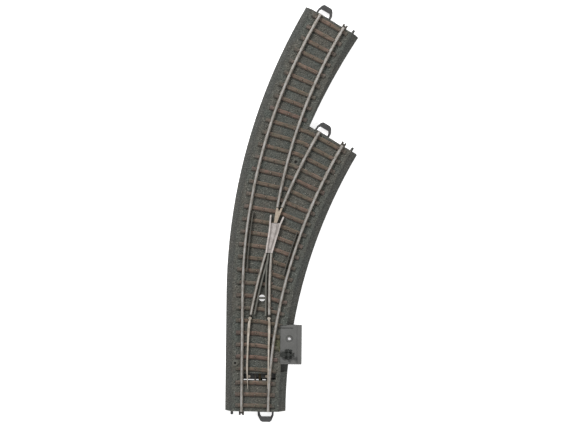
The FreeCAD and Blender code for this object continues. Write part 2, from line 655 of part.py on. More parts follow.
right_bar = section_face(shifted(blade_bar(0.55), F["railOffset"]), F["tipY"]).extrude(V3(0, F["heelY"] - F["tipY"], 0))
stock_right = swept(stock_space(F["railOffset"], -1), 0, 0, 11.0)
right_bar = right_bar.cut(stock_right)
heel_disc_r = Part.makeCylinder(1.0, BT - BB - 0.1, V3(heel_right.x, heel_right.y, BB))
pin_right = V3(F["railOffset"] - 1.3, DY, 0)
lug_r = Part.makeCylinder(0.85, 0.55, V3(pin_right.x, DY, BB)).fuse(
    Part.makeBox(1.3, 1.7, 0.55, V3(pin_right.x, DY - 0.85, BB)))
lug_r = lug_r.cut(stock_right)
keep(feature("right_switch_blade", right_bar.fuse([heel_disc_r, lug_r])), "right_switch_blade")

for name, heel in (("left_heel_pin", heel_left), ("right_heel_pin", heel_right)):
    shaft = cyl(name + "_shaft", heel.x, P["heelY"], 4.7, P["heelPinRadius"], P["bladeBase"] - 4.7)
    head = cyl(name + "_head", heel.x, P["heelY"], 4.7, P["heelPinRadius"] * 2.0, 0.4)
    keep(fuse(name, [shaft, head]), name)
for name, pin in (("left_drive_pin", pin_left), ("right_drive_pin", pin_right)):
    keep(cyl(name, pin.x, pin.y, P["barBase"] + 0.2, P["drivePinRadius"], P["bladeBase"] - P["barBase"] - 0.2), name)

# ---------------------------------------------------------------- throw bar and slider
TR = F["throwTravel"]
bar_outline = [(-6.9, 22.0), (-0.9, 22.0), (-0.9, 22.5), (2.4, 22.5), (2.4, 22.0), (16.1, 22.0), (16.1, 24.8), (-6.9, 24.8)]


def pin_slot(p):
    hx, lo, hi = 0.55, p.y - 0.72, p.y + 0.72
    return [(p.x - hx, lo), (p.x + hx, lo), (p.x + hx, hi), (p.x - hx, hi)]


keep(plate("throw_bar", [([bar_outline, pin_slot(V3(pin_left.x, 23.3, 0)), pin_slot(V3(pin_right.x, 23.3, 0))],
                          [(14.9, 23.4, 0.5)], P["barBase"], P["barThick"])]), "throw_bar")

tilt = math.radians(F["leverTilt"])
finger_rest = F["leverX"] + F["fingerLength"] * math.sin(tilt)
crank_rest = F["lanternX"] + F["crankRadius"] * math.sin(math.radians(45))
slider_outline = [(12.6, 22.0), (18.1, 22.0), (18.1, 33.8), (28.0, 33.8), (28.0, 43.4), (26.2, 43.4), (26.2, 47.0),
                  (crank_rest + 0.62, 47.0), (crank_rest + 0.62, 45.2), (crank_rest - 0.62, 45.2), (crank_rest - 0.62, 47.0),
                  (20.8, 47.0), (20.8, 36.4), (16.0, 36.4), (16.0, 24.8), (12.6, 24.8)]
fx = finger_rest
finger_slot = [(fx - 0.72, 36.7), (fx + 0.72, 36.7), (fx + 0.72, 39.1), (fx - 0.72, 39.1)]
keep(plate("drive_slider", [([slider_outline, finger_slot], [(14.9, 23.4, 0.5)], P["sliderBase"], P["sliderThick"]),
                            ([], [(27.2, 41.4, 0.5)], P["sliderBase"], P["sliderThick"] + 1.7)]), "drive_slider")
rivet_shaft = cyl("rivet_shaft", 14.9, 23.4, P["sliderBase"] - 0.3, 0.46, P["barThick"] + P["sliderThick"] + 0.6)
rivet_low = cyl("rivet_low", 14.9, 23.4, P["sliderBase"] - 0.3, 0.9, 0.3)
rivet_up = cyl("rivet_up", 14.9, 23.4, P["barBase"] + P["barThick"], 0.9, 0.3)
keep(fuse("slider_rivet", [rivet_shaft, rivet_low, rivet_up]), "slider_rivet")

# ---------------------------------------------------------------- drive box
x0, x1, y0, y1 = P["boxLeft"] + 0.05, P["boxRight"], P["boxLow"] + 0.05, P["boxHigh"] - 0.05
w = P["boxWall"]
FT = P["floorThick"]
wall_h = P["plateBase"] - FT
walls = [(x0, y0), (x1, y0), (x1, y1), (x0, y1), (x0, y1 - w), (x1 - w, y1 - w), (x1 - w, y0 + w), (x0, y0 + w)]
ring = plate("housing_ring", [([walls], [], FT, wall_h)])
post_a = cyl("post_a", 27.9, y1 - w - 0.9, FT, 1.3, wall_h)
post_b = cyl("post_b", 18.2, y1 - w - 0.9, FT, 1.3, wall_h)
way = box("arm_window", 14.0, y0 - 1.0, 1.8, 4.5, 4.0, 1.7)
hole_a = cyl("hole_a", 27.9, y1 - w - 0.9, 0.0, 0.62, 4.6)
hole_b = cyl("hole_b", 18.2, y1 - w - 0.9, 0.0, 0.62, 4.6)
housing_solid = fuse("housing_solid", [ring, post_a, post_b])
keep(cut("housing_base", housing_solid, fuse("housing_tools", [way, hole_a, hole_b])), "housing_base")

LX, LY = P["leverX"], P["leverY"]
cover_outline = [(x0, y0), (x1, y0), (x1, y1), (x0, y1)]
opening = [(LX - 1.8, LY - 1.5), (LX + 1.8, LY - 1.5), (LX + 1.8, LY + 1.5), (LX - 1.8, LY + 1.5)]
keep(plate("housing_cover", [([cover_outline, opening], [(P["lanternX"], P["lanternY"], P["lanternRadius"] + 0.08)],
                              P["plateBase"], P["plateThick"])]), "housing_cover")
keep(plate("housing_floor", [([cover_outline], [(P["lanternX"], P["lanternY"], 2.6), (27.9, y1 - w - 0.9, 0.7), (18.2, y1 - w - 0.9, 0.7)],
                              0.0, FT),
                             ([], [(25.75, 53.6, 0.5)], 0.5 * FT, 4.0)]), "housing_floor")
screws = []
for n, sx in enumerate((27.9, 18.2)):
    sh = cyl("screw_shaft%d" % n, sx, y1 - w - 0.9, 0.35, 0.6, 3.9)
    hd = cyl("screw_head%d" % n, sx, y1 - w - 0.9, 0.1, 0.65, 0.8)
    screws += [sh, hd]
keep(fuse("housing_screws", screws), "housing_screws")

# lever bearing: a thin frame with two ears that carry the axle
frame_out = [(LX - 2.4, LY - 3.2), (LX + 2.4, LY - 3.2), (LX + 2.4, LY + 3.2), (LX - 2.4, LY + 3.2)]
PT = P["plateBase"] + P["plateThick"]
bearing = plate("bearing_frame", [([frame_out, opening], [], PT, 0.35)])
ear_a = box("ear_a", LX - 0.9, LY - 3.0, PT, 1.8, 1.3, P["leverZ"] - PT)
ear_b = box("ear_b", LX - 0.9, LY + 1.7, PT, 1.8, 1.3, P["leverZ"] - PT)
along_y = FreeCAD.Rotation(V3(1, 0, 0), -90)
top_a = cyl("ear_top_a", LX, LY - 3.0, P["leverZ"], 0.9, 1.3, along_y)
top_b = cyl("ear_top_b", LX, LY + 1.7, P["leverZ"], 0.9, 1.3, along_y)
ear_bore = cyl("ear_bore", LX, LY - 5.0, P["leverZ"], P["axleRadius"] + 0.05, 10.0, along_y)
keep(cut("lever_bearing", fuse("bearing_solid", [bearing, ear_a, ear_b, top_a, top_b]), ear_bore), "lever_bearing")
keep(cyl("lever_axle", LX, LY - P["axleLength"] / 2, P["leverZ"], P["axleRadius"], P["axleLength"], along_y), "lever_axle")

# hand lever: hub, weighted arm to the left (level at rest), handle to the right (raised at rest), finger below
lz, lx_, ly_ = F["leverZ"], F["leverX"], F["leverY"]
hub = Part.makeCylinder(1.25, 2.6, V3(lx_, ly_ - 1.3, lz), V3(0, 1, 0))
arm_w = Part.makeBox(3.6, 1.3, 1.0, V3(lx_ - 3.6, ly_ - 0.65, lz - 0.5))
weight = Part.makeCylinder(2.0, 1.2, V3(lx_ - 3.45, ly_, lz - 0.6))
weight = weight.makeFillet(0.3, weight.Edges[:1] + weight.Edges[2:])
arm_w = arm_w.fuse(weight)
arm_w.rotate(V3(lx_, ly_, lz), V3(0, 1, 0), F["leverTilt"])
arm_h = Part.makeBox(4.4, 1.3, 0.9, V3(lx_, ly_ - 0.65, lz - 0.45))
grip = Part.makeCylinder(0.62, 2.8, V3(lx_ + 4.2, ly_ - 1.4, lz + 0.1), V3(0, 1, 0))
arm_h = arm_h.fuse(grip)
arm_h.rotate(V3(lx_, ly_, lz), V3(0, 1, 0), -F["leverTilt"])
finger = Part.makeBox(0.9, 1.6, F["fingerLength"], V3(lx_ - 0.45, ly_ - 0.8, lz - F["fingerLength"]))
fingertip = Part.makeCylinder(0.6, 1.6, V3(lx_, ly_ - 0.8, lz - F["fingerLength"]), V3(0, 1, 0))
lever = hub.multiFuse([arm_w, arm_h, finger, fingertip])
lever = lever.cut(Part.makeCylinder(F["axleRadius"] + 0.02, 8, V3(lx_, ly_ - 4, lz), V3(0, 1, 0)))
lever.rotate(V3(lx_, ly_, lz), V3(0, 1, 0), -F["leverTilt"])
keep(feature("hand_lever", lever), "hand_lever")

# lantern drive: a turned socket with a crank disc and pin, worked by the fork in the slider
cxl, cyl_ = P["lanternX"], P["lanternY"]
LB, LR = P["lanternBore"], P["lanternRadius"]
socket = doc.addObject("PartDesign::Body", "socket_turned")
sk = sketch_on(socket, "socket_profile", "XZ_Plane", 0.0)
profile = [(LB, 3.5), (3.0 + 0.0 * LB, 3.5), (3.0 + 0.0 * LB, 4.3), (2.6 + 0.0 * LB, 4.3), (2.6 + 0.0 * LB, 5.5), (LR, 5.5), (LR, 7.1), (LB, 7.1)]
draw_loop(sk, profile)
g = sk.addGeometry(Part.LineSegment(V3(0, 0, 0), V3(0, 10, 0)), True)
sk.addConstraint(Sketcher.Constraint("Coincident", g, 1, -1, 1))
sk.addConstraint(Sketcher.Constraint("Vertical", g))
sk.addConstraint(Sketcher.Constraint("DistanceY", g, 1, g, 2, 10.0))
doc.recompute()
turned = socket.newObject("PartDesign::Revolution", "socket_turn")
turned.Profile = sk
turned.ReferenceAxis = (sk, ["Axis0"])
turned.Angle = 360.0
doc.recompute()
socket.Tip = turned
place(socket, cxl, cyl_, 0.0)
s45 = math.sin(math.radians(45))
crank_pin = cyl("crank_pin", cxl + P["crankRadius"] * s45, cyl_ - P["crankRadius"] * s45, 2.2, P["crankPin"], 1.4)
keep(fuse("lantern_socket", [socket, crank_pin]), "lantern_socket")

# over-centre spring between the slider post and the floor post
Z_SP = 4.05
path = [(27.2, 42.2), (28.05, 43.6), (28.5, 46.0), (28.55, 48.4), (28.1, 50.6), (27.2, 52.4), (26.35, 53.1)]
wire_r = 0.25
sp = []
for i in range(len(path) - 1):
    a, b = V3(path[i][0], path[i][1], Z_SP), V3(path[i + 1][0], path[i + 1][1], Z_SP)
    sp.append(Part.makeCylinder(wire_r, a.distanceToPoint(b), a, b - a))
    sp.append(Part.makeSphere(wire_r, b))
sp.append(Part.makeTorus(0.8, wire_r, V3(27.2, 41.4, Z_SP)))
sp.append(Part.makeTorus(0.8, wire_r, V3(25.75, 53.6, Z_SP)))
keep(feature("toggle_spring", sp[0].multiFuse(sp[1:])), "toggle_spring")

# ---------------------------------------------------------------- feeders under the deck
strap = box("strap_bar", feed_x[0] - 0.5, FEED_Y - 0.5, 4.4, feed_x[1] - feed_x[0] + 1.0, 1.0, 0.4)
rise_a = box("strap_rise_a", feed_x[0] - 0.5, FEED_Y - 0.5, 4.6, 1.0, 1.0, P["railBase"] - 4.6)
rise_b = box("strap_rise_b", feed_x[1] - 0.5, FEED_Y - 0.5, 4.6, 1.0, 1.0, P["railBase"] - 4.6)
keep(fuse("feeder_strap", [strap, rise_a, rise_b]), "feeder_strap")
keep(box("blade_feeder_strip", 2.2, 8.0, P["stripBase"], 1.4, 52.0, P["stripThick"]), "blade_feeder_strip")

# ---------------------------------------------------------------- end fittings
LZ, LT = P["loopBase"], P["loopThick"]
loop_out = [(-12.4, 0.0), (-12.2, 3.0), (-11.0, 6.1), (-9.9, P["loopReach"]), (-4.7, P["loopReach"]), (-3.5, 6.3), (-1.85, 3.1), (-1.6, 0.0)]
loop_in = [(-11.1, 0.6), (-11.0, 2.4), (-10.2, 3.6), (-4.3, 3.6), (-3.4, 2.4), (-3.1, 0.6)]
neck = [(-12.4, -2.15), (-1.6, -2.15), (-1.6, 0.6), (-12.4, 0.6)]
tail = [(-13.0, -3.4), (-1.0, -3.4), (-1.0, -2.12), (-13.0, -2.12)]
for key in ENDS:
    base, turn = ENDS[key]
    rot = FreeCAD.Rotation(V3(0, 0, 1), turn)
    loop = plate("coupling_loop_" + key, [([loop_out, loop_in], [], LZ, LT), ([neck], [], LZ, LT), ([tail], [], LZ, LT)])
    loop.Placement = FreeCAD.Placement(base, rot)
    keep(loop, "coupling_loop_" + key)
    clip_pts = [(7.2, P["clipReach"]), (7.2, -4.0), (10.6, -4.0), (10.6, P["clipReach"]), (9.45, P["clipReach"]), (9.4, 1.7), (8.55, 1.7), (8.5, P["clipReach"])]
    clip = plate("rail_contact_" + key, [([clip_pts], [], P["clipBase"], P["clipThick"])])
    clip.Placement = FreeCAD.Placement(base, rot)
    keep(clip, "rail_contact_" + key)
pegs = []
for key in ENDS:
    base, turn = ENDS[key]
    peg = Part.makeCylinder(F["pegRadius"], F["pegReach"] - 0.3, V3(F["pegOffset"], 0, F["pegHeight"]), V3(0, 1, 0))
    nose = Part.makeCone(F["pegRadius"], F["pegRadius"] - 0.3, 0.3, V3(F["pegOffset"], F["pegReach"] - 0.3, F["pegHeight"]), V3(0, 1, 0))
    shank = Part.makeCylinder(F["pegRadius"] + 0.3, 1.9, V3(F["pegOffset"], -1.9, F["pegHeight"]), V3(0, 1, 0))
    pegs.append(at_end(peg.fuse([nose, shank]), key))
keep(feature("end_pegs", Part.makeCompound(pegs)), "end_pegs")

# ---------------------------------------------------------------- checks and files
doc.recompute()
bad = []
for o in doc.Objects:
    if any(word in " ".join(o.State) for word in ("Invalid", "Error")):
        bad.append("%s state %s" % (o.Name, o.State))
for o in NODES:
    if o.Shape.isNull() or not o.Shape.isValid() or not o.Shape.Solids:
        bad.append("%s has no valid solid" % o.Label)
if bad:
    raise RuntimeError("; ".join(bad))
os.makedirs("parts", exist_ok=True)
for o in NODES:
    o.Shape.exportStep("parts/%s.step" % o.Label)
    bb = o.Shape.BoundBox
    print("%-22s solids %3d vol %9.2f  x %7.2f %7.2f  y %7.2f %7.2f  z %6.2f %6.2f" % (
        o.Label, len(o.Shape.Solids), o.Shape.Volume, bb.XMin, bb.XMax, bb.YMin, bb.YMax, bb.ZMin, bb.ZMax))
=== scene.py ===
import math

import bmesh
import bpy
import numpy as np
from mathutils import Matrix, Vector
from mathutils.bvhtree import BVHTree
from mathutils.geometry import delaunay_2d_cdt
from mathutils.kdtree import KDTree


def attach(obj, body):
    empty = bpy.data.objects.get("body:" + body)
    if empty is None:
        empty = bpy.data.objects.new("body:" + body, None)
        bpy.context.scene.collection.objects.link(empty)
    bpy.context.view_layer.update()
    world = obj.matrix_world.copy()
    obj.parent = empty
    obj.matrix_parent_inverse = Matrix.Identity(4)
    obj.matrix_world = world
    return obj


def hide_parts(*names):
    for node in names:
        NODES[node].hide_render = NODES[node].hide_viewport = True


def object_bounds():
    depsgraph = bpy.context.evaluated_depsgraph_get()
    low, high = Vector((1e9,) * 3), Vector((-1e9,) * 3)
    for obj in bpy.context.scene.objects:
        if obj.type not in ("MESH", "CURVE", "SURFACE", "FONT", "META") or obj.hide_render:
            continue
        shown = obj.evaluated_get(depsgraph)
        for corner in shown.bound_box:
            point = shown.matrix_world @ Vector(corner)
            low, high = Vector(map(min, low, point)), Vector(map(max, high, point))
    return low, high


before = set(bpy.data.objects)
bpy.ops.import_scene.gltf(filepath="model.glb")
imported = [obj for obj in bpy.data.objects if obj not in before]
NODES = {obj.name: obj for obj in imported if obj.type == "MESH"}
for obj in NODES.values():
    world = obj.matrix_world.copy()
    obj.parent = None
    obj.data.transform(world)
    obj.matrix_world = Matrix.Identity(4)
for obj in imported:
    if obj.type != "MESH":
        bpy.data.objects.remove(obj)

MM = 0.001
cad_box = [list(map(float, v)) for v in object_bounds()]
scene = bpy.context.scene

# ------------------------------------------------------------------ the track's own geometry, in millimetres
R, LEAD, ANG = 360.0, 77.5, 30.0
OFF = 8.8
TIE_HALF, TIE_END, TIE_TOP = 1.4, 13.0, 8.0
N_OUT, N_IN = 33, 24
A_POS = [4.25 + 8.1 * i for i in range(N_OUT)]
B_POS = [4.25 + 7.9 * i for i in range(N_IN)]
A_POS = [s - 0.3 - 0.8 * math.exp(-((s - 58.0) / 18.0) ** 2) for s in A_POS]
B_POS = [s - 0.4 - 0.4 * math.exp(-((s - 60.0) / 25.0) ** 2) for s in B_POS]
A_POS[1] = B_POS[1] = 11.2
A_POS[2] = B_POS[2] = 18.9


def outer_at(s, off=0.0):
    if s <= LEAD:
        return np.array([off, s]), np.array([0.0, 1.0])
    a = (s - LEAD) / R
    return np.array([R - (R - off) * math.cos(a), LEAD + (R - off) * math.sin(a)]), np.array([math.sin(a), math.cos(a)])


def inner_at(s, off=0.0):
    a = s / R
    return np.array([R - (R - off) * math.cos(a), (R - off) * math.sin(a)]), np.array([math.sin(a), math.cos(a)])


def right_of(h):
    return np.array([h[1], -h[0]])


# ------------------------------------------------------------------ seeded noise
def rnd(a, b, c, k):
    h = (a.astype(np.int64) * 73856093) ^ (b.astype(np.int64) * 19349663) ^ (c.astype(np.int64) * 83492791) ^ np.int64(k * 97531 + 7)
    h = h.astype(np.uint64) & np.uint64(0xFFFFFFFF)
    for mul in (0x2C1B3C6D, 0x297A2D39):
        h ^= h >> np.uint64(15)
        h = (h * np.uint64(mul)) & np.uint64(0xFFFFFFFF)
    h ^= h >> np.uint64(15)
    return h.astype(np.float64) / 4294967296.0


def value_noise(p, scale, k=0):
    q = p / scale
    b = np.floor(q)
    f = q - b
    f = f * f * (3 - 2 * f)
    b = b.astype(np.int64)
    out = np.zeros(len(p))
    for dx in (0, 1):
        for dy in (0, 1):
            for dz in (0, 1):
                w = np.where(dx, f[:, 0], 1 - f[:, 0]) * np.where(dy, f[:, 1], 1 - f[:, 1]) * np.where(dz, f[:, 2], 1 - f[:, 2])
                out += w * rnd(b[:, 0] + dx, b[:, 1] + dy, b[:, 2] + dz, k)
    return out


def stones(p, cell, k=0):
    """Nearest and second nearest seed distance in cells, the nearest seed's place, and three random numbers of it."""
    q = p / cell
    b = np.floor(q).astype(np.int64)
    n = len(p)
    f1, f2 = np.full(n, 9.0), np.full(n, 9.0)
    seed = np.zeros((n, 3))
    ids = np.zeros((n, 3), np.int64)
    for dx in (-1, 0, 1):
        for dy in (-1, 0, 1):
            for dz in (-1, 0, 1):
                c = b + np.array([dx, dy, dz])
                s = np.stack([c[:, i] + 0.5 + 0.86 * (rnd(c[:, 0], c[:, 1], c[:, 2], k + 1 + i) - 0.5) for i in range(3)], 1)
                d = np.sqrt(((q - s) ** 2).sum(1))
                nearer = d < f1
                f2 = np.where(nearer, f1, np.minimum(f2, d))
                f1 = np.where(nearer, d, f1)
                seed[nearer] = s[nearer]
                ids[nearer] = c[nearer]
    r = [rnd(ids[:, 0], ids[:, 1], ids[:, 2], k + 11 + i) for i in range(4)]
    return f1, f2, seed * cell, r


def smooth(a, b, x):
    t = np.clip((x - a) / (b - a), 0, 1)
    return t * t * (3 - 2 * t)


# ------------------------------------------------------------------ a fine skin over a CAD node's upward faces
def resurface(node, name, is_top, make_points, edge, clear):
    """A copy of the node whose faces picked by is_top are meshed again, finely. Returns the object, with its skin's vertices as an index array, which of those lie on the skin's border, and their normals."""
    bm = bmesh.new()
    bm.from_mesh(NODES[node].data)
    bmesh.ops.remove_doubles(bm, verts=bm.verts, dist=2e-6)
    bmesh.ops.dissolve_degenerate(bm, edges=bm.edges, dist=1e-6)
    bm.normal_update()
    top = set(f for f in bm.faces if is_top(f))
    rim = [e for e in bm.edges if sum(f in top for f in e.link_faces) == 1]
    for e in rim:
        cuts = int(math.ceil(e.calc_length() / MM / edge)) - 1
        v = e.verts[0]
        for k in range(cuts):
            ne, nv = bmesh.utils.edge_split(e, v, 1.0 / (cuts + 1 - k))
            e = e if nv in e.verts and v not in e.verts else ne
            v = nv
    bm.normal_update()
    top = [f for f in bm.faces if is_top(f)]
    picked = set(top)
    tri = BVHTree.FromPolygons([v.co.copy() for v in bm.verts] if bm.verts.index_update() is None else [], [[v.index for v in f.verts] for f in top])
    rim = [e for e in bm.edges if any(f in picked for f in e.link_faces) and any(f not in picked for f in e.link_faces)]
    rim_verts = []
    seen = {}
    for e in rim:
        for v in e.verts:
            if v not in seen:
                seen[v] = len(rim_verts)
                rim_verts.append(v)
    rim_edges = [(seen[e.verts[0]], seen[e.verts[1]]) for e in rim]
    kd = KDTree(len(rim_verts))
    for i, v in enumerate(rim_verts):
        kd.insert((v.co.x, v.co.y, 0), i)
    kd.balance()
    down = Vector((0, 0, -1))
    inside, heights, normals = [], [], []
    for x, y in make_points:
        p = Vector((x * MM, y * MM, 0.05))
        hit = tri.ray_cast(p, down)
        if hit[0] is None:
            continue
        if kd.find((p.x, p.y, 0))[2] < clear * MM:
            continue
        inside.append((p.x, p.y))
        heights.append(hit[0].z)
        normals.append(hit[1])
    flat = [Vector((v.co.x, v.co.y)) for v in rim_verts] + [Vector(p) for p in inside]
    out_v, out_e, out_f, orig_v, orig_e, orig_f = delaunay_2d_cdt([v / MM for v in flat], rim_edges, [], 0, 1e-5, True)
    bmesh.ops.delete(bm, geom=top, context="FACES")
    verts = []
    nrm = []
    is_rim = []
    for i, o in enumerate(orig_v):
        o = sorted(o)
        if o and o[0] < len(rim_verts):
            verts.append(rim_verts[o[0]])
            is_rim.append(True)
            nrm.append(Vector((0, 0, 1)))
        elif o:
            k = o[0] - len(rim_verts)
            verts.append(bm.verts.new((inside[k][0], inside[k][1], heights[k])))
            is_rim.append(False)
            nrm.append(normals[k])
        else:
            verts.append(None)
            is_rim.append(True)
            nrm.append(Vector((0, 0, 1)))
    for f in out_f:
        t = [verts[i] for i in f]
        if None in t:
            continue
        c = sum((v.co for v in t), Vector()) / 3
        hit = tri.ray_cast(Vector((c.x, c.y, 0.05)), down)
        if hit[0] is None or abs(hit[0].z - c.z) > 0.6 * MM:
            continue
        try:
            nf = bm.faces.new(t)
        except ValueError:
            continue
        nf.normal_update()
        if nf.normal.z < 0:
            nf.normal_flip()
        nf.material_index = 0
    long_faces = [f for f in bm.faces if len(f.verts) > 4]
    bmesh.ops.triangulate(bm, faces=long_faces, ngon_method="BEAUTY")
    bm.verts.index_update()
    used = [(v.index, r, n) for v, r, n in zip(verts, is_rim, nrm) if v is not None and v.is_valid]
    me = bpy.data.meshes.new(name)
    bm.to_mesh(me)
    bm.free()
    ob = bpy.data.objects.new(name, me)
    scene.collection.objects.link(ob)
    index = np.array([u[0] for u in used])
    rimmed = np.array([u[1] for u in used])
    normal = np.array([list(u[2]) for u in used])
    dist = np.zeros(len(index))
    co = np.zeros(len(me.vertices) * 3)
    me.vertices.foreach_get("co", co)
    co = co.reshape(-1, 3)
    for j, i in enumerate(index):
        dist[j] = 0.0 if rimmed[j] else kd.find((co[i, 0], co[i, 1], 0))[2] / MM
    return ob, co, index, rimmed, normal, dist


def set_points(ob, co):
    ob.data.vertices.foreach_set("co", co.astype(np.float32).ravel())
    ob.data.update()


def set_attribute(ob, name, values, kind="FLOAT"):
    a = ob.data.attributes.new(name, kind, "POINT")
    key = "vector" if kind == "FLOAT_VECTOR" else "value"
    a.data.foreach_set(key, np.asarray(values, np.float32).ravel())


def smooth_by_angle(ob, degrees):
    """Soft shading, with edges sharper than the angle kept crisp."""
    me = ob.data
    me.polygons.foreach_set("use_smooth", [True] * len(me.polygons))
    bm = bmesh.new()
    bm.from_mesh(me)
    limit = math.radians(degrees)
    for e in bm.edges:
        e.smooth = len(e.link_faces) == 2 and e.calc_face_angle(3.2) < limit
    bm.to_mesh(me)
    bm.free()


# ------------------------------------------------------------------ materials
def material(name):
    m = bpy.data.materials.new(name)
    m.use_nodes = True
    nt = m.node_tree
    nt.nodes.clear()
    out = nt.nodes.new("ShaderNodeOutputMaterial")
    b = nt.nodes.new("ShaderNodeBsdfPrincipled")
    nt.links.new(b.outputs[0], out.inputs[0])
    return m, nt, b


def coords(nt, scale=(1, 1, 1)):
    tc = nt.nodes.new("ShaderNodeTexCoord")
    mp = nt.nodes.new("ShaderNodeMapping")
    mp.inputs["Scale"].default_value = scale
    nt.links.new(tc.outputs["Object"], mp.inputs["Vector"])
    return mp.outputs[0]


def noise(nt, vec, scale, detail=3.0, rough=0.55, distortion=0.0):
    n = nt.nodes.new("ShaderNodeTexNoise")
    n.inputs["Scale"].default_value = scale
    n.inputs["Detail"].default_value = detail
    n.inputs["Roughness"].default_value = rough
    n.inputs["Distortion"].default_value = distortion
    nt.links.new(vec, n.inputs["Vector"])
    return n.outputs["Fac"]


def voronoi(nt, vec, scale, feature="F1", output="Distance"):
    n = nt.nodes.new("ShaderNodeTexVoronoi")
    n.feature = feature
    n.inputs["Scale"].default_value = scale
    nt.links.new(vec, n.inputs["Vector"])
    return n.outputs[output]


def ramp(nt, fac, stops, interpolation="LINEAR"):
    r = nt.nodes.new("ShaderNodeValToRGB")
    r.color_ramp.interpolation = interpolation
    e = r.color_ramp.elements
    while len(e) < len(stops):
        e.new(0.5)
    for el, (pos, col) in zip(e, stops):
        el.position = pos
        el.color = (col, col, col, 1) if isinstance(col, (int, float)) else (*col, 1)
    nt.links.new(fac, r.inputs[0])
    return r.outputs[0]


def mix(nt, fac, a, b, mode="MIX"):
    n = nt.nodes.new("ShaderNodeMix")
    n.data_type = "RGBA"
    n.blend_type = mode
    for sock, val in ((n.inputs[0], fac), (n.inputs[6], a), (n.inputs[7], b)):
        if isinstance(val, (int, float)):
            sock.default_value = val if sock == n.inputs[0] else (val, val, val, 1)
        elif isinstance(val, tuple):
            sock.default_value = (*val, 1)
        else:
            nt.links.new(val, sock)
    return n.outputs[2]


def math_node(nt, op, a, b=0.5, clamp=False):
    n = nt.nodes.new("ShaderNodeMath")
    n.operation = op
    n.use_clamp = clamp
    for sock, val in ((n.inputs[0], a), (n.inputs[1], b)):
        if isinstance(val, (int, float)):
            sock.default_value = val
        else:
            nt.links.new(val, sock)
    return n.outputs[0]


def bump(nt, bsdf, height, distance, strength=1.0):
    n = nt.nodes.new("ShaderNodeBump")
    n.inputs["Distance"].default_value = distance
    n.inputs["Strength"].default_value = strength
    nt.links.new(height, n.inputs["Height"])
    nt.links.new(n.outputs[0], bsdf.inputs["Normal"])


def attribute(nt, name, output="Fac"):
    n = nt.nodes.new("ShaderNodeAttribute")
    n.attribute_name = name
    return n.outputs[output]


def normal_up(nt):
    g = nt.nodes.new("ShaderNodeNewGeometry")
    s = nt.nodes.new("ShaderNodeSeparateXYZ")
    nt.links.new(g.outputs["Normal"], s.inputs[0])
    return s.outputs["Z"]


def object_height(nt):
    tc = nt.nodes.new("ShaderNodeTexCoord")
    s = nt.nodes.new("ShaderNodeSeparateXYZ")
    nt.links.new(tc.outputs["Object"], s.inputs[0])
    return s.outputs["Z"]


def srgb(r, g, b, gain=1.0):
    out = []
    for c in (r, g, b):
        c = c / 255.0
        c = c / 12.92 if c <= 0.04045 else ((c + 0.055) / 1.055) ** 2.4
        out.append(min(c * gain, 1.0))
    return tuple(out)


def ballast_material():
    m, nt, b = material("ballast_stone")
    vec = coords(nt)
    base = ramp(nt, attribute(nt, "shade"), [(0.0, srgb(64, 66, 63)), (0.3, srgb(85, 86, 82)), (0.62, srgb(98, 98, 93)), (0.85, srgb(111, 110, 105)), (1.0, srgb(126, 124, 118))])
    tint = ramp(nt, noise(nt, vec, 90, 2), [(0.35, srgb(196, 205, 200)), (0.65, srgb(216, 209, 198))])
    col = mix(nt, 0.8, base, tint, "MULTIPLY")
    grit = ramp(nt, noise(nt, vec, 5200, 3, 0.7), [(0.3, 0.72), (0.7, 1.22)])
    col = mix(nt, 1.0, col, grit, "MULTIPLY")
    # painted shade: the deep attribute darkens the crevices between stones and lifts the stone tops a little
    dark = ramp(nt, attribute(nt, "deep"), [(0.0, 0.38), (0.55, 0.9), (1.0, 1.1)])
    col = mix(nt, 1.0, col, dark, "MULTIPLY")
    # tone attribute: painted shade and painted light per vertex, times the olive patch's tint
    col = mix(nt, 1.0, col, attribute(nt, "tone", "Color"), "MULTIPLY")
    nt.links.new(col, b.inputs["Base Color"])
    rough = ramp(nt, noise(nt, vec, 2600, 2), [(0.3, 0.62), (0.7, 0.86)])
    nt.links.new(rough, b.inputs["Roughness"])
    b.inputs["Specular IOR Level"].default_value = 0.35
    bump(nt, b, noise(nt, vec, 4300, 4, 0.7), 0.00006, 0.9)
    return m


def under_material():
    m, nt, b = material("moulded_underside")
    vec = coords(nt)
    col = ramp(nt, noise(nt, vec, 60, 3), [(0.3, srgb(60, 61, 57)), (0.7, srgb(74, 74, 69))])
    fleck = ramp(nt, noise(nt, vec, 2400, 2), [(0.35, 0.9), (0.65, 1.1)])
    nt.links.new(mix(nt, 1.0, col, fleck, "MULTIPLY"), b.inputs["Base Color"])
    nt.links.new(ramp(nt, noise(nt, vec, 700, 3), [(0.3, 0.45), (0.7, 0.62)]), b.inputs["Roughness"])
    bump(nt, b, noise(nt, vec, 3200, 3, 0.6), 0.00002, 0.6)
    return m


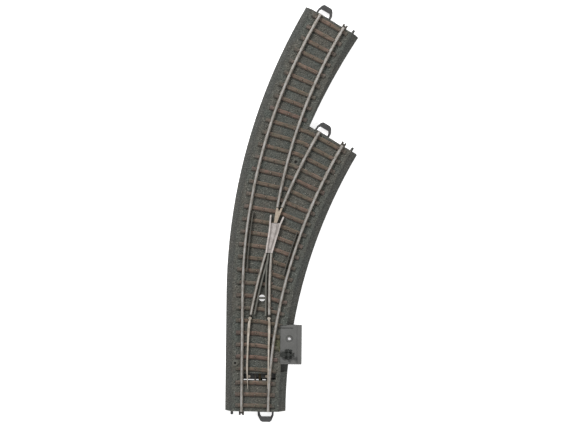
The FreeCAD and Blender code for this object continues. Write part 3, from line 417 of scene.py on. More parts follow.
def sleeper_material():
    m, nt, b = material("sleeper_wood_grain")
    uv = attribute(nt, "grain", "Vector")
    mp = nt.nodes.new("ShaderNodeMapping")
    mp.inputs["Scale"].default_value = (0.22, 3.4, 1.0)
    nt.links.new(uv, mp.inputs["Vector"])
    tie = attribute(nt, "tie")
    base = ramp(nt, tie, [(0.0, srgb(102, 90, 80)), (0.25, srgb(101, 84, 76)), (0.5, srgb(95, 86, 75)), (0.75, srgb(107, 93, 84)), (1.0, srgb(97, 90, 81))])
    grain = noise(nt, mp.outputs[0], 2.0, 4, 0.6, 0.4)
    streak = ramp(nt, grain, [(0.3, 0.62), (0.5, 0.98), (0.72, 1.22)])
    col = mix(nt, 1.0, base, streak, "MULTIPLY")
    vec = coords(nt)
    patch = ramp(nt, noise(nt, vec, 330, 3), [(0.35, srgb(196, 204, 190)), (0.65, srgb(246, 228, 220))])
    col = mix(nt, 0.9, col, patch, "MULTIPLY")
    # painted shade darkens the sleepers' sides and the edges of their tops; on the tops the grain gives lighter and
    # darker streaks
    edge = ramp(nt, attribute(nt, "wear_and_side_shade"), [(0.0, 0.66), (0.5, 1.0), (1.0, 1.16)])
    col = mix(nt, 1.0, col, edge, "MULTIPLY")
    # tone attribute: the painted highlight and shade across each sleeper, with the olive patch and the tint towards the
    # ends
    col = mix(nt, 1.0, col, attribute(nt, "tone", "Color"), "MULTIPLY")
    nt.links.new(col, b.inputs["Base Color"])
    nt.links.new(ramp(nt, grain, [(0.3, 0.5), (0.7, 0.72)]), b.inputs["Roughness"])
    b.inputs["Specular IOR Level"].default_value = 0.4
    h = math_node(nt, "ADD", math_node(nt, "MULTIPLY", grain, 0.8), math_node(nt, "MULTIPLY", noise(nt, vec, 3600, 2), 0.3))
    bump(nt, b, h, 0.00009, 0.8)
    return m


def fixing_material():
    m, nt, b = material("rail_fixing")
    vec = coords(nt)
    col = ramp(nt, noise(nt, vec, 420, 3), [(0.3, srgb(72, 62, 55)), (0.7, srgb(100, 86, 76))])
    col = mix(nt, 1.0, col, ramp(nt, noise(nt, vec, 4200, 2), [(0.3, 0.8), (0.7, 1.2)]), "MULTIPLY")
    nt.links.new(col, b.inputs["Base Color"])
    nt.links.new(ramp(nt, noise(nt, vec, 1500, 2), [(0.3, 0.42), (0.7, 0.66)]), b.inputs["Roughness"])
    bump(nt, b, noise(nt, vec, 3800, 3), 0.00004, 0.7)
    return m


def rail_material(name, top, side, foot, top_z=10.2, rough=(0.24, 0.42), metal=0.9):
    """Bright running surface with fine worn lengthwise streaks, duller stained sides, and a foot colour lower down:
    painted shade on the running rails, painted light on the check rails.
    """
    m, nt, b = material(name)
    vec = coords(nt)
    up = normal_up(nt)
    z = object_height(nt)
    high = ramp(nt, math_node(nt, "MULTIPLY", z, 1000.0 / 12.0), [((top_z - 0.35) / 12.0, 0.0), ((top_z - 0.1) / 12.0, 1.0)])
    flat = ramp(nt, up, [(0.55, 0.0), (0.85, 1.0)])
    is_top = math_node(nt, "MULTIPLY", high, flat)
    # lower down the sides take the foot's colour: painted shade darkening the running rails towards the foot, painted
    # light on the check rails' foot in the flangeway
    sides = mix(nt, ramp(nt, math_node(nt, "MULTIPLY", z, 1000.0 / 12.0), [(8.3 / 12.0, 0.0), (9.2 / 12.0, 1.0)]), foot, side)
    col = mix(nt, is_top, sides, top)
    stain = ramp(nt, noise(nt, vec, 260, 4, 0.6), [(0.3, srgb(200, 195, 187)), (0.55, srgb(242, 240, 237)), (0.75, srgb(254, 254, 254))])
    col = mix(nt, 1.0, col, stain, "MULTIPLY")
    streaks = ramp(nt, noise(nt, coords(nt, (1.0, 0.06, 1.0)), 6000, 2, 0.5), [(0.3, 0.86), (0.7, 1.1)])
    col = mix(nt, 1.0, col, streaks, "MULTIPLY")
    nt.links.new(col, b.inputs["Base Color"])
    b.inputs["Metallic"].default_value = metal
    r_top = ramp(nt, noise(nt, coords(nt, (1.0, 0.1, 1.0)), 3500, 3), [(0.3, rough[0]), (0.7, rough[1])])
    r_side = ramp(nt, noise(nt, vec, 1800, 3), [(0.3, 0.42), (0.7, 0.62)])
    nt.links.new(mix(nt, is_top, r_side, r_top), b.inputs["Roughness"])
    bump(nt, b, noise(nt, coords(nt, (1.0, 0.12, 1.0)), 5200, 3), 0.000012, 0.6)
    return m


def shade_start(m, y_from, y_to, low):
    """Painted shade where a rail begins, next to the blade's heel: a dark band in place of the shadowed gap."""
    nt = m.node_tree
    b = next(n for n in nt.nodes if n.type == "BSDF_PRINCIPLED")
    src = b.inputs["Base Color"].links[0].from_socket
    tc = nt.nodes.new("ShaderNodeTexCoord")
    sep = nt.nodes.new("ShaderNodeSeparateXYZ")
    nt.links.new(tc.outputs["Object"], sep.inputs[0])
    fac = ramp(nt, math_node(nt, "MULTIPLY", sep.outputs["Y"], 4.0), [(y_from * 0.004, low), (y_to * 0.004, 1.0)])
    nt.links.new(mix(nt, 1.0, src, fac, "MULTIPLY"), b.inputs["Base Color"])


def cast_material(name, light, dark, metal=0.85, scale=1500):
    m, nt, b = material(name)
    vec = coords(nt)
    col = ramp(nt, noise(nt, vec, 240, 4, 0.6), [(0.3, dark), (0.7, light)])
    col = mix(nt, 1.0, col, ramp(nt, noise(nt, vec, 4200, 3), [(0.3, 0.86), (0.7, 1.12)]), "MULTIPLY")
    # painted shade: castings darker towards the bottom, below 10 mm
    deep = ramp(nt, math_node(nt, "MULTIPLY", object_height(nt), 1000.0 / 12.0), [(8.9 / 12, 0.62), (10.0 / 12, 1.0)])
    col = mix(nt, 1.0, col, deep, "MULTIPLY")
    nt.links.new(col, b.inputs["Base Color"])
    b.inputs["Metallic"].default_value = metal
    nt.links.new(ramp(nt, noise(nt, vec, scale, 3), [(0.3, 0.34), (0.7, 0.56)]), b.inputs["Roughness"])
    bump(nt, b, noise(nt, vec, 3000, 4, 0.65), 0.00003, 0.7)
    return m


def plastic_material(name, light, dark, rough=(0.42, 0.6), grain=2600, depth=0.00003, spec=0.4):
    m, nt, b = material(name)
    vec = coords(nt)
    col = ramp(nt, noise(nt, vec, 150, 4, 0.6), [(0.3, dark), (0.7, light)])
    col = mix(nt, 1.0, col, ramp(nt, noise(nt, vec, grain * 1.6, 3), [(0.3, 0.9), (0.7, 1.1)]), "MULTIPLY")
    nt.links.new(col, b.inputs["Base Color"])
    nt.links.new(ramp(nt, noise(nt, vec, 900, 3), [(0.3, rough[0]), (0.7, rough[1])]), b.inputs["Roughness"])
    b.inputs["Specular IOR Level"].default_value = spec
    bump(nt, b, math_node(nt, "ADD", noise(nt, vec, grain, 3, 0.6), math_node(nt, "MULTIPLY", voronoi(nt, vec, grain * 0.8), 0.35)), depth, 0.8)
    return m


def metal_material(name, light, dark, rough=(0.25, 0.42), metal=1.0):
    m, nt, b = material(name)
    vec = coords(nt)
    col = ramp(nt, noise(nt, vec, 600, 4, 0.6), [(0.3, dark), (0.7, light)])
    col = mix(nt, 1.0, col, ramp(nt, noise(nt, vec, 5200, 2), [(0.3, 0.9), (0.7, 1.08)]), "MULTIPLY")
    nt.links.new(col, b.inputs["Base Color"])
    b.inputs["Metallic"].default_value = metal
    nt.links.new(ramp(nt, noise(nt, vec, 2200, 3), [(0.3, rough[0]), (0.7, rough[1])]), b.inputs["Roughness"])
    bump(nt, b, noise(nt, vec, 4200, 3), 0.00001, 0.6)
    return m


M_BALLAST = ballast_material()
M_UNDER = under_material()
M_TIE = sleeper_material()
M_FIX = fixing_material()
M_RAIL = rail_material("rail_nickel_silver", srgb(210, 208, 206), srgb(162, 158, 153), srgb(132, 127, 120))
M_BLADE = rail_material("blade_nickel_silver", srgb(226, 218, 208), srgb(192, 183, 172), srgb(148, 139, 128), top_z=10.15, rough=(0.3, 0.48))
M_FROG = cast_material("frog_cast", srgb(218, 210, 206), srgb(186, 178, 173))
M_NOSE = cast_material("frog_nose_metal", srgb(198, 184, 168), srgb(168, 154, 138))
M_GUARD = cast_material("guard_metal", srgb(122, 121, 114), srgb(98, 97, 91), 0.6)
M_DARK = metal_material("dark_strip", srgb(88, 84, 78), srgb(58, 55, 50), (0.4, 0.6), 0.7)


def stud_material():
    """Bright contact studs on a strip painted darker, as painted shade, where it runs under the sleepers."""
    m, nt, b = material("contact_stud")
    vec = coords(nt)
    high = ramp(nt, math_node(nt, "MULTIPLY", object_height(nt), 1000.0 / 12.0), [(6.7 / 12.0, 0.0), (7.3 / 12.0, 1.0)])
    dark = ramp(nt, noise(nt, vec, 600, 4, 0.6), [(0.3, srgb(52, 49, 45)), (0.7, srgb(76, 72, 66))])
    light = ramp(nt, noise(nt, vec, 600, 4, 0.6), [(0.3, srgb(116, 107, 98)), (0.7, srgb(158, 149, 138))])
    nt.links.new(mix(nt, high, dark, light), b.inputs["Base Color"])
    b.inputs["Metallic"].default_value = 0.75
    nt.links.new(ramp(nt, noise(nt, vec, 2200, 3), [(0.3, 0.34), (0.7, 0.56)]), b.inputs["Roughness"])
    bump(nt, b, noise(nt, vec, 4200, 3), 0.00001, 0.6)
    return m


M_STUD = stud_material()
# check rails: dark top, lighter sides and a light foot, the foot as painted light on the flangeway floor
M_CHECK = rail_material("check_rail_dark", srgb(84, 82, 77), srgb(104, 101, 94), srgb(150, 146, 136), top_z=9.9, rough=(0.42, 0.6), metal=0.25)
M_HOUSE = plastic_material("housing_plastic", srgb(96, 96, 94), srgb(85, 85, 83))
M_BLACK = plastic_material("black_plastic", srgb(66, 67, 64), srgb(50, 51, 48), (0.36, 0.55), 3000, 0.00002)
M_LEVER = plastic_material("lever_plastic", srgb(46, 48, 45), srgb(33, 35, 32), (0.34, 0.5), 3000, 0.00002)
M_LOOP = plastic_material("loop_plastic", srgb(70, 70, 70), srgb(52, 52, 52), (0.34, 0.5), 3000, 0.00002)
M_BRASS = metal_material("brass_part", srgb(176, 150, 98), srgb(138, 112, 68))
# the feeder strip's brass, darkened as painted shade where it shows in the throw-bar slot
M_BRASS_DARK = metal_material("brass_painted_shade", srgb(74, 64, 46), srgb(48, 42, 32), (0.4, 0.6))
M_AXLE = metal_material("blackened_steel", srgb(64, 64, 62), srgb(44, 44, 42), (0.34, 0.5))
M_STEEL = metal_material("spring_steel", srgb(188, 188, 186), srgb(150, 150, 148), (0.18, 0.32))

def cover_material():
    m, nt, b = material("cover_plastic")
    vec = coords(nt)
    col = ramp(nt, noise(nt, vec, 120, 4, 0.6), [(0.3, srgb(86, 86, 84)), (0.7, srgb(97, 97, 95))])
    col = mix(nt, 1.0, col, ramp(nt, noise(nt, vec, 3600, 3), [(0.3, 0.88), (0.7, 1.12)]), "MULTIPLY")
    # depth attribute: painted shade in the grooves, the ring and at the rim, painted light on the ledge
    col = mix(nt, 1.0, col, ramp(nt, attribute(nt, "depth"), [(0.3, 0.3), (1.0, 1.0)]), "MULTIPLY")
    nt.links.new(col, b.inputs["Base Color"])
    nt.links.new(ramp(nt, noise(nt, vec, 900, 3), [(0.3, 0.45), (0.7, 0.62)]), b.inputs["Roughness"])
    b.inputs["Specular IOR Level"].default_value = 0.4
    bump(nt, b, noise(nt, vec, 2800, 3, 0.6), 0.00003, 0.8)
    return m


M_COVER = cover_material()
M_CLOSURE = rail_material("closure_nickel_silver", srgb(216, 213, 209), srgb(166, 161, 154), srgb(136, 130, 122))
# painted shade at the closure rails' start, next to the blades' heels
shade_start(M_CLOSURE, 63.4, 64.2, 0.06)

PAINT = {
    "left_stock_rail": M_RAIL, "right_stock_rail": M_RAIL, "left_closure_rail": M_CLOSURE, "right_closure_rail": M_CLOSURE,
    "inner_exit_rail": M_RAIL, "outer_exit_rail": M_RAIL, "left_switch_blade": M_BLADE, "right_switch_blade": M_BLADE,
    "left_check_rail": M_CHECK, "right_check_rail": M_CHECK, "guard_frame": M_GUARD, "frog_casting": M_FROG, "frog_nose": M_NOSE,
    "left_heel_pin": M_BRASS, "right_heel_pin": M_BRASS, "left_drive_pin": M_STEEL, "right_drive_pin": M_STEEL,
    "throw_bar": M_BLACK, "drive_slider": M_BLACK, "slider_rivet": M_BRASS, "housing_base": M_HOUSE, "housing_cover": M_HOUSE,
    "housing_floor": M_HOUSE, "housing_screws": M_STEEL, "lever_bearing": M_LEVER, "lever_axle": M_AXLE, "hand_lever": M_LEVER,
    "lantern_socket": M_HOUSE, "toggle_spring": M_STEEL, "centre_strip_main": M_STUD, "centre_strip_branch": M_STUD,
    "feeder_strap": M_BRASS, "blade_feeder_strip": M_BRASS_DARK, "end_pegs": M_BLACK,
}
for key in ("toe", "inner", "outer"):
    PAINT["coupling_loop_" + key] = M_LOOP
    PAINT["rail_contact_" + key] = M_DARK
for name, ob in NODES.items():
    if name in PAINT:
        ob.data.materials.clear()
        ob.data.materials.append(PAINT[name])

# ------------------------------------------------------------------ roadbed: ballast stones on deck and banks
SLOPE_NZ = 4.4 / math.hypot(4.4, 6.4)


def bank_or_deck(f):
    zs = [v.co.z / MM for v in f.verts]
    n = f.normal
    if n.z > 0.99 and min(zs) > 7.38 and max(zs) < 7.45:
        return True
    if abs(n.z - SLOPE_NZ) < 0.03 and min(zs) > 0.95 and max(zs) < 7.45:
        for v in f.verts:
            x, y, z = v.co / MM
            d = bed_offset(x, y)
            if abs(z - (7.4 - (d - 15.6) / 4.4 * 6.4)) > 0.15:
                return False
        return True
    return False


def bed_offset(x, y):
    """Distance from the nearer route's centre line."""
    ro = abs(x) if y < LEAD else abs(R - math.hypot(x - R, y - LEAD))
    ri = abs(R - math.hypot(x - R, y)) if y > 0 else abs(x)
    if y > 187.0 + 0.0 and ri < ro and y > inner_end_y(x):
        return ro
    return min(ro, ri)


def inner_end_y(x):
    e, h = inner_at(R * math.radians(ANG))
    return e[1] - (x - e[0]) * h[0] / h[1]


tie_frames = []
for i in range(N_OUT):
    po, ho = outer_at(A_POS[i])
    no = right_of(ho)
    left = po - no * TIE_END
    if i < N_IN:
        pi_, hi = inner_at(B_POS[i])
        ni = right_of(hi)
        gap = float(np.hypot(*(pi_ - po)))
        mid = (po + no * gap / 2 + pi_ - ni * gap / 2) / 2
        right = pi_ + ni * TIE_END
        segs = [(left, mid), (mid, right)]
    else:
        segs = [(left, po + no * TIE_END)]
    u0 = 0.0
    for a, b in segs:
        length = float(np.hypot(*(b - a)))
        u = (b - a) / length
        tie_frames.append((i, a, u, np.array([-u[1], u[0]]), length, u0))
        u0 += length
STEP = 0.395
rng = np.random.default_rng(11)
pts = []
rows = int(270 / (STEP * 0.866)) + 2
cols = int(88 / STEP) + 2
for j in range(rows):
    for i in range(cols):
        pts.append((-21 + (i + 0.5 * (j % 2)) * STEP, -1 + j * STEP * 0.866))
pts = np.array(pts) + rng.uniform(-0.16, 0.16, (len(pts), 2)) * STEP
# keep the points near the bed only
ro = np.where(pts[:, 1] < LEAD, np.abs(pts[:, 0]), np.abs(R - np.hypot(pts[:, 0] - R, pts[:, 1] - LEAD)))
ri = np.abs(R - np.hypot(pts[:, 0] - R, pts[:, 1]))
pts = pts[(ro < 20.5) | ((ri < 20.5) & (pts[:, 1] < 200))]
bed, co, idx, rim, nrm, dist = resurface("roadbed_shell", "roadbed_moulding", bank_or_deck, pts, 0.42, 0.2)
p = co[idx] / MM
f1, f2, seed, r = stones(p, 0.92, 3)
flatness = smooth(0.6, 0.95, nrm[:, 2])
edge = smooth(0.02, 0.42, f2 - f1)
tilt = ((p - seed) * np.stack([r[1] - 0.5, r[2] - 0.5, r[3] - 0.5], 1)).sum(1)
d = -0.36 + edge * (0.34 + 0.34 * r[0]) + 0.55 * tilt * edge
d += 0.05 * (value_noise(p, 0.3, 5) - 0.5)
d = np.clip(d, -0.42, 0.36)
d = np.where(flatness > 0.5, d, d * 0.8 - 0.06)
fade = smooth(0.0, 0.55, dist)
d *= fade
co2 = co.copy()
co2[idx] = co[idx] + nrm * (d * MM)[:, None]
co2[idx, 0] = np.clip(co2[idx, 0], cad_box[0][0], cad_box[1][0])
set_points(bed, co2)
shade = np.full(len(co), 0.45)
deep = np.full(len(co), 0.75)
shade[idx] = np.clip(0.5 + (r[0] - 0.5) * 0.5 + (r[3] - 0.5) * 0.7 * edge, 0, 1)
# deep: painted shade, low in the crevices between stones and high on their tops; middling on the rim
deep[idx] = 0.35 + 0.65 * np.clip(edge * 0.85 + 0.4 * (d + 0.1), 0, 1)
deep[idx] = np.where(rim, 0.75, deep[idx])
# tone: painted shade and painted light on the ballast. The banks are darker than the deck and lighter again mid-bank,
# with a dark band of painted shade at the bank's outer edge; the deck is a little lighter 11 to 15 mm out from the
# route's centre line
off = np.array([bed_offset(x, y) for x, y in co[:, :2] / MM])
tone = 1.2 - 0.46 * smooth(15.2, 15.9, off)
tone += 0.14 * smooth(17.4, 18.1, off) - 0.3 * smooth(19.2, 19.7, off)
tone *= 1.0 + 0.12 * smooth(11.0, 12.2, off) * (1 - smooth(13.8, 15.0, off))


# painted shadow of each sleeper on the ballast, in a band along its toe-side edge
edge_tree_pts = []
for i, a, u, v, length, u0 in tie_frames:
    for t in np.arange(0.0, length, 0.3):
        edge_tree_pts.append(a + u * t - v * (TIE_HALF + 0.25))
edge_kd = KDTree(len(edge_tree_pts))
for i, q in enumerate(edge_tree_pts):
    edge_kd.insert((q[0], q[1], 0), i)
edge_kd.balance()
near_edge = np.array([edge_kd.find((x, y, 0))[2] for x, y in co[:, :2] / MM])
# painted shadow: the ballast's tone halved next to the sleepers' toe-side edges
tone *= 1.0 - 0.5 * (1 - smooth(0.2, 0.6, near_edge))
bx, by = co[:, 0] / MM, co[:, 1] / MM
left_line = R - np.sqrt((R + OFF) ** 2 - np.clip(by, 0, 200) ** 2)
right_line = np.where(by < LEAD, OFF, R - np.sqrt((R - OFF) ** 2 - np.clip(by - LEAD, 0, 200) ** 2))
# painted light: lighter ballast in the flangeways between the closure rails and the guard bars
between = (by > 62.5) & (by < 104.5)
tone += 0.9 * np.where(between & (bx > left_line + 0.9) & (bx < left_line + 2.1), 1.0, 0.0)
tone += 0.9 * np.where(between & (bx < right_line - 0.9) & (bx > right_line - 2.0), 1.0, 0.0)
# painted light: lighter ballast in the flangeways beside the check rails
outer_off = np.where(by < LEAD, bx, R - np.hypot(bx - R, by - LEAD))
inner_off = R - np.hypot(bx - R, by)
tone += 0.8 * np.where((by > 92) & (by < 132) & (outer_off > -7.9) & (outer_off < -6.6), 1.0, 0.0)
tone += 0.8 * np.where((by > 89) & (by < 119) & (inner_off < 7.9) & (inner_off > 6.6), 1.0, 0.0)
# painted shade: the outer route's left bank darker
tone *= 1.0 - 0.17 * smooth(15.0, 15.8, -outer_off) * (1 - smooth(18.9, 19.5, -outer_off))


def moss(x, y):
    return smooth(12.6, 13.2, x) * (1 - smooth(16.2, 16.8, x)) * smooth(39.3, 40.2, y) * (1 - smooth(50.0, 51.0, y))


mossy = moss(co[:, 0] / MM, co[:, 1] / MM)
# the painted shade and light of tone, tinted olive on the patch
colour = np.stack([tone * (1 + 0.0 * mossy), tone * (1 + 0.02 * mossy), tone * (1.02 - 0.36 * mossy)], 1)
set_attribute(bed, "tone", colour, "FLOAT_VECTOR")
set_attribute(bed, "shade", shade)
set_attribute(bed, "deep", deep)
bed.data.materials.clear()
bed.data.materials.append(M_BALLAST)
bed.data.materials.append(M_UNDER)
under = []
for f in bed.data.polygons:
    c = f.center / MM
    inner = f.normal.z < -0.05 or (c.z < 5.7 and f.normal.z > 0.8)
    under.append(1 if inner else 0)
bed.data.polygons.foreach_set("material_index", under)
smooth_by_angle(bed, 48)
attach(bed, "roadbed")
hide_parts("roadbed_shell")

# ------------------------------------------------------------------ sleepers with grain, worn edges and their own tone, with painted shade on their sides and toe-side halves and a painted highlight along the heel-side edge
tie_pts, tie_uv = [], []
SU, SV = ((0.5, 0.2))
for i, a, u, v, length, u0 in tie_frames:
    nu, nv = int(length / SU), int(2 * TIE_HALF / SV)
    for m in range(nu + 1):
        for k in range(1, nv):
            x = (m + 0.5 * (k % 2)) * SU
            if x > length:
                continue
            y = -TIE_HALF + k * SV
            q = a + u * x + v * y
            tie_pts.append(q)
            tie_uv.append((u0 + x, y, i))
tie_pts = np.array(tie_pts)
tie_uv = np.array(tie_uv)
ties, co, idx, rim, nrm, dist = resurface("sleepers", "sleepers_grained", lambda f: f.normal.z > 0.99 and f.calc_center_median().z > 7.95 * MM, tie_pts, 0.45, 0.13)
kd = KDTree(len(tie_pts))
for i, q in enumerate(tie_pts):
    kd.insert((q[0], q[1], 0), i)
kd.balance()
uv = np.zeros((len(co), 3))
for i in range(len(co)):
    q = Vector((co[i, 0] / MM, co[i, 1] / MM, 0))
    near = kd.find(q)[1]
    t = tie_uv[near]
    fr = [f for f in tie_frames if f[0] == int(t[2])]
    fr = fr[0] if len(fr) == 1 or t[0] <= fr[0][4] else fr[1]
    rel = np.array([q.x, q.y]) - fr[1]
    uv[i] = (fr[5] + rel @ fr[2], rel @ fr[3], t[2])
tie_rand = rng.uniform(0, 1, 64)
tie_id = uv[:, 2].astype(int)
g = np.stack([uv[:, 0] + 37.0 * tie_id, uv[:, 1] * 6.0, uv[:, 2] * 5.3], 1)
grain = value_noise(g, 3.2, 21) * 0.55 + value_noise(g * [2.2, 2.0, 1.0], 3.2, 22) * 0.45
co2 = co.copy()
dz = -0.17 * smooth(0.62, 0.3, grain)
across = np.abs(uv[:, 1]) / TIE_HALF
dz += -0.08 * smooth(0.72, 1.0, across)
dz += -0.3 * smooth(-0.55, -1.3, uv[:, 1]) + 0.04 * np.exp(-((uv[:, 1] - 0.85) / 0.25) ** 2)
dz += 0.05 * (value_noise(np.stack([uv[:, 0] * 0.4 + 9 * tie_id, uv[:, 1], uv[:, 2]], 1), 1.0, 23) - 0.5)
dz_top = dz[idx]
dz_top = np.where(rim, np.where(uv[idx, 1] < -0.5, -0.4, -0.14) - 0.05 * grain[idx], dz_top)
co2[idx, 2] += np.clip(dz_top - 0.04, -0.5, -0.0) * MM
set_points(ties, co2)
# painted shade on the sleepers' sides and top edges, with wood-grain streaks on the tops
wear_and_side_shade = np.full(len(co), 0.15)
wear_and_side_shade[idx] = np.clip(0.25 + 0.8 * smooth(0.3, 0.7, grain[idx]) * smooth(0.0, 0.35, dist), 0, 1)
mossy = moss(co[:, 0] / MM, co[:, 1] / MM)
span = np.zeros(len(co))
for i, a, u, v, length, u0 in tie_frames:
    m_ = tie_id == i
    span[m_] = np.maximum(span[m_], u0 + length)
to_end = np.minimum(uv[:, 0], span - uv[:, 0])
faded = 1 - smooth(1.6, 3.4, to_end)
# lit: a painted highlight along each sleeper's heel-side edge and painted shade over its toe-side half, flattened
# towards the ends
lit = 1.0 + 0.3 * np.exp(-((uv[:, 1] - 1.0) / 0.28) ** 2) - 0.52 * smooth(-0.55, -1.05, uv[:, 1])
lit = 0.6 * lit * faded + lit * (1 - faded) + 0.4 * faded
tie_tone = np.stack([lit * (1 - 0.22 * mossy) * (1 - 0.2 * faded), lit * (1 - 0.08 * mossy) * (1 - 0.08 * faded), lit * (1 - 0.3 * mossy) * (1 + 0.02 * faded)], 1)
set_attribute(ties, "tone", tie_tone, "FLOAT_VECTOR")
set_attribute(ties, "wear_and_side_shade", wear_and_side_shade)
set_attribute(ties, "tie", tie_rand[tie_id % 64])
set_attribute(ties, "grain", np.stack([uv[:, 0] + 31.0 * tie_id, uv[:, 1] + 7.0 * tie_id, (co[:, 2] / MM)], 1) * 1.0, "FLOAT_VECTOR")
ties.data.materials.clear()
ties.data.materials.append(M_TIE)
ties.data.polygons.foreach_set("material_index", [0] * len(ties.data.polygons))
smooth_by_angle(ties, 40)
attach(ties, "roadbed")
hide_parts("sleepers")

# ------------------------------------------------------------------ moulded rail fixings on the sleepers
fix_bm = bmesh.new()


def fixing(at, along, side, scale=1.0):
    """A small clip beside the rail's foot with a bolt head. at is on the rail's line, side +1 or -1 of it."""
    n = right_of(along) * side
    half = 0.72 * scale
    prof = [(1.04, 7.72), (1.04, 8.62), (1.3, 8.64), (1.55, 8.42), (2.15, 8.3), (2.3, 8.12), (2.3, 7.72)]
    rings = []
    for y in (-half, half):
        rings.append([fix_bm.verts.new(((at[0] + n[0] * x + along[0] * y) * MM, (at[1] + n[1] * x + along[1] * y) * MM, z * MM)) for x, z in prof])
    k = len(prof)
    faces = [fix_bm.faces.new(rings[0]), fix_bm.faces.new(list(reversed(rings[1])))]
    for i in range(k):
        faces.append(fix_bm.faces.new([rings[0][i], rings[1][i], rings[1][(i + 1) % k], rings[0][(i + 1) % k]][::-1]))
    # bolt head: six sides with a domed top
    c = at + n * 1.84
    ring_a, ring_b, ring_c = [], [], []
    for j in range(6):
        t = math.radians(60 * j + 15)
        dx, dy = math.cos(t), math.sin(t)
        ring_a.append(fix_bm.verts.new(((c[0] + 0.27 * dx) * MM, (c[1] + 0.27 * dy) * MM, 8.2 * MM)))
        ring_b.append(fix_bm.verts.new(((c[0] + 0.27 * dx) * MM, (c[1] + 0.27 * dy) * MM, 8.52 * MM)))
        ring_c.append(fix_bm.verts.new(((c[0] + 0.16 * dx) * MM, (c[1] + 0.16 * dy) * MM, 8.6 * MM)))
    for j in range(6):
        q = (j + 1) % 6
        fix_bm.faces.new([ring_a[j], ring_a[q], ring_b[q], ring_b[j]])
        fix_bm.faces.new([ring_b[j], ring_b[q], ring_c[q], ring_c[j]])
    fix_bm.faces.new(ring_c)
    fix_bm.faces.new(list(reversed(ring_a)))


for i in range(N_OUT):
    s = A_POS[i]
    # outer route: left rail all the way, right rail where it isn't blade or frog
    q, h = outer_at(s, -OFF)
    fixing(q, h, -1)
    if (s < 13 or s > 63) and not 92 < s < 134:
        fixing(q, h, 1)
    q, h = outer_at(s, OFF)
    if s > 63 and not 103.5 < s < 136:
        fixing(q, h, 1)
        if s > 136:
            fixing(q, h, -1)
    if i < N_IN:
        s = B_POS[i]
        q, h = inner_at(s, OFF)
        housed = 30 < q[1] < 58
        if not (24.8 < q[1] < 30) and not housed:
            fixing(q, h, 1)
        elif housed:
            pass
        if (s < 13 or s > 63) and not 88 < s < 121:
            fixing(q, h, -1)
        q, h = inner_at(s, -OFF)
        if s > 63 and not 103.5 < s < 138:
            fixing(q, h, -1)
            if s > 138:
                fixing(q, h, 1)
bmesh.ops.recalc_face_normals(fix_bm, faces=fix_bm.faces)
fix_me = bpy.data.meshes.new("rail_fixings")
fix_bm.to_mesh(fix_me)
fix_bm.free()
fixings = bpy.data.objects.new("rail_fixings", fix_me)
scene.collection.objects.link(fixings)
bev = fixings.modifiers.new("bevel", "BEVEL")
bev.width = 0.06 * MM
bev.segments = 2
bev.limit_method = "ANGLE"
bev.angle_limit = math.radians(35)
fix_me.materials.append(M_FIX)
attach(fixings, "roadbed")

# ------------------------------------------------------------------ housing cover: step, panel lines, ring and fine moulding texture, with painted shade in the grooves and at the rim and painted light on the ledge
CX, CY = 22.2, 48.0
hx, hy = np.meshgrid(np.arange(16.2, 30.3, 0.2), np.arange(31.4, 57.2, 0.2))
cover_pts = np.stack([hx.ravel(), hy.ravel()], 1) + rng.uniform(-0.03, 0.03, (hx.size, 2))
ring = [(CX + rr * math.cos(a), CY + rr * math.sin(a)) for rr in (2.3, 2.5, 2.7, 2.9) for a in np.linspace(0, 2 * math.pi, 64, endpoint=False)]
cover, co, idx, rim, nrm, dist = resurface("housing_cover", "housing_cover_moulded", lambda f: f.normal.z > 0.99 and f.calc_center_median().z > 6.95 * MM, list(map(tuple, cover_pts)) + ring, 0.4, 0.08)
q = co[idx] / MM
x, y = q[:, 0], q[:, 1]
dz = -0.32 * (1 - smooth(0.14, 0.3, np.abs(y - 55.15))) * (1 - smooth(24.5, 24.9, x))
dz -= 0.14 * (1 - smooth(0.1, 0.24, np.abs(x - 27.3)))
dz -= 0.1 * (1 - smooth(0.12, 0.26, np.abs(y - 32.4))) * (1 - smooth(21.4, 21.8, x))
rr = np.hypot(x - CX, y - CY)
dz -= 0.1 * (1 - smooth(2.35, 2.62, rr))
dz -= 0.06 * smooth(0.4, 0.0, dist)
dz += 0.02 * (value_noise(q, 0.5, 41) - 0.5) + 0.03 * (value_noise(q, 3.0, 42) - 0.5)
co2 = co.copy()
co2[idx, 2] += np.clip(dz - 0.02, -0.5, 0.0) * MM
set_points(cover, co2)
# depth: painted shade in the grooves, the ring and at the rim, painted light on the ledge at the heel end
depth = np.full(len(co), 0.9)
depth[idx] = 1.0 + 2.2 * np.clip(dz, -0.32, 0.02)
depth[idx] += 0.16 * smooth(55.3, 55.6, y) * (1 - smooth(24.4, 24.8, x))
set_attribute(cover, "depth", depth)
cover.data.materials.clear()
cover.data.materials.append(M_COVER)
cover.data.polygons.foreach_set("material_index", [0] * len(cover.data.polygons))
smooth_by_angle(cover, 40)
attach(cover, "roadbed")
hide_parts("housing_cover")

# hand lever: the moulding, with a raised rim round the weight
lever_me = NODES["hand_lever"].data.copy()
lever_me.name = "hand_lever_moulded"
bm = bmesh.new()
bm.from_mesh(lever_me)
bmesh.ops.remove_doubles(bm, verts=bm.verts, dist=1e-6)
WX, WY, WZ = 18.25, 37.9, 9.2
for f in bm.faces:
    c = f.calc_center_median() / MM
    f.material_index = 1 if f.normal.z > 0.9 and math.hypot(c.x - WX, c.y - WY) < 1.9 and c.z > 9.1 else 0
SEG, TUBE, RT, rt = 56, 10, 1.66, 0.24
grid = []
for i in range(SEG):
    a = 2 * math.pi * i / SEG
    row = []
    for j in range(TUBE):
        t = 2 * math.pi * j / TUBE
        rr_ = RT + rt * math.cos(t)
        row.append(bm.verts.new(((WX + rr_ * math.cos(a)) * MM, (WY + rr_ * math.sin(a)) * MM, (WZ - 0.02 + rt * 0.9 * math.sin(t)) * MM)))
    grid.append(row)
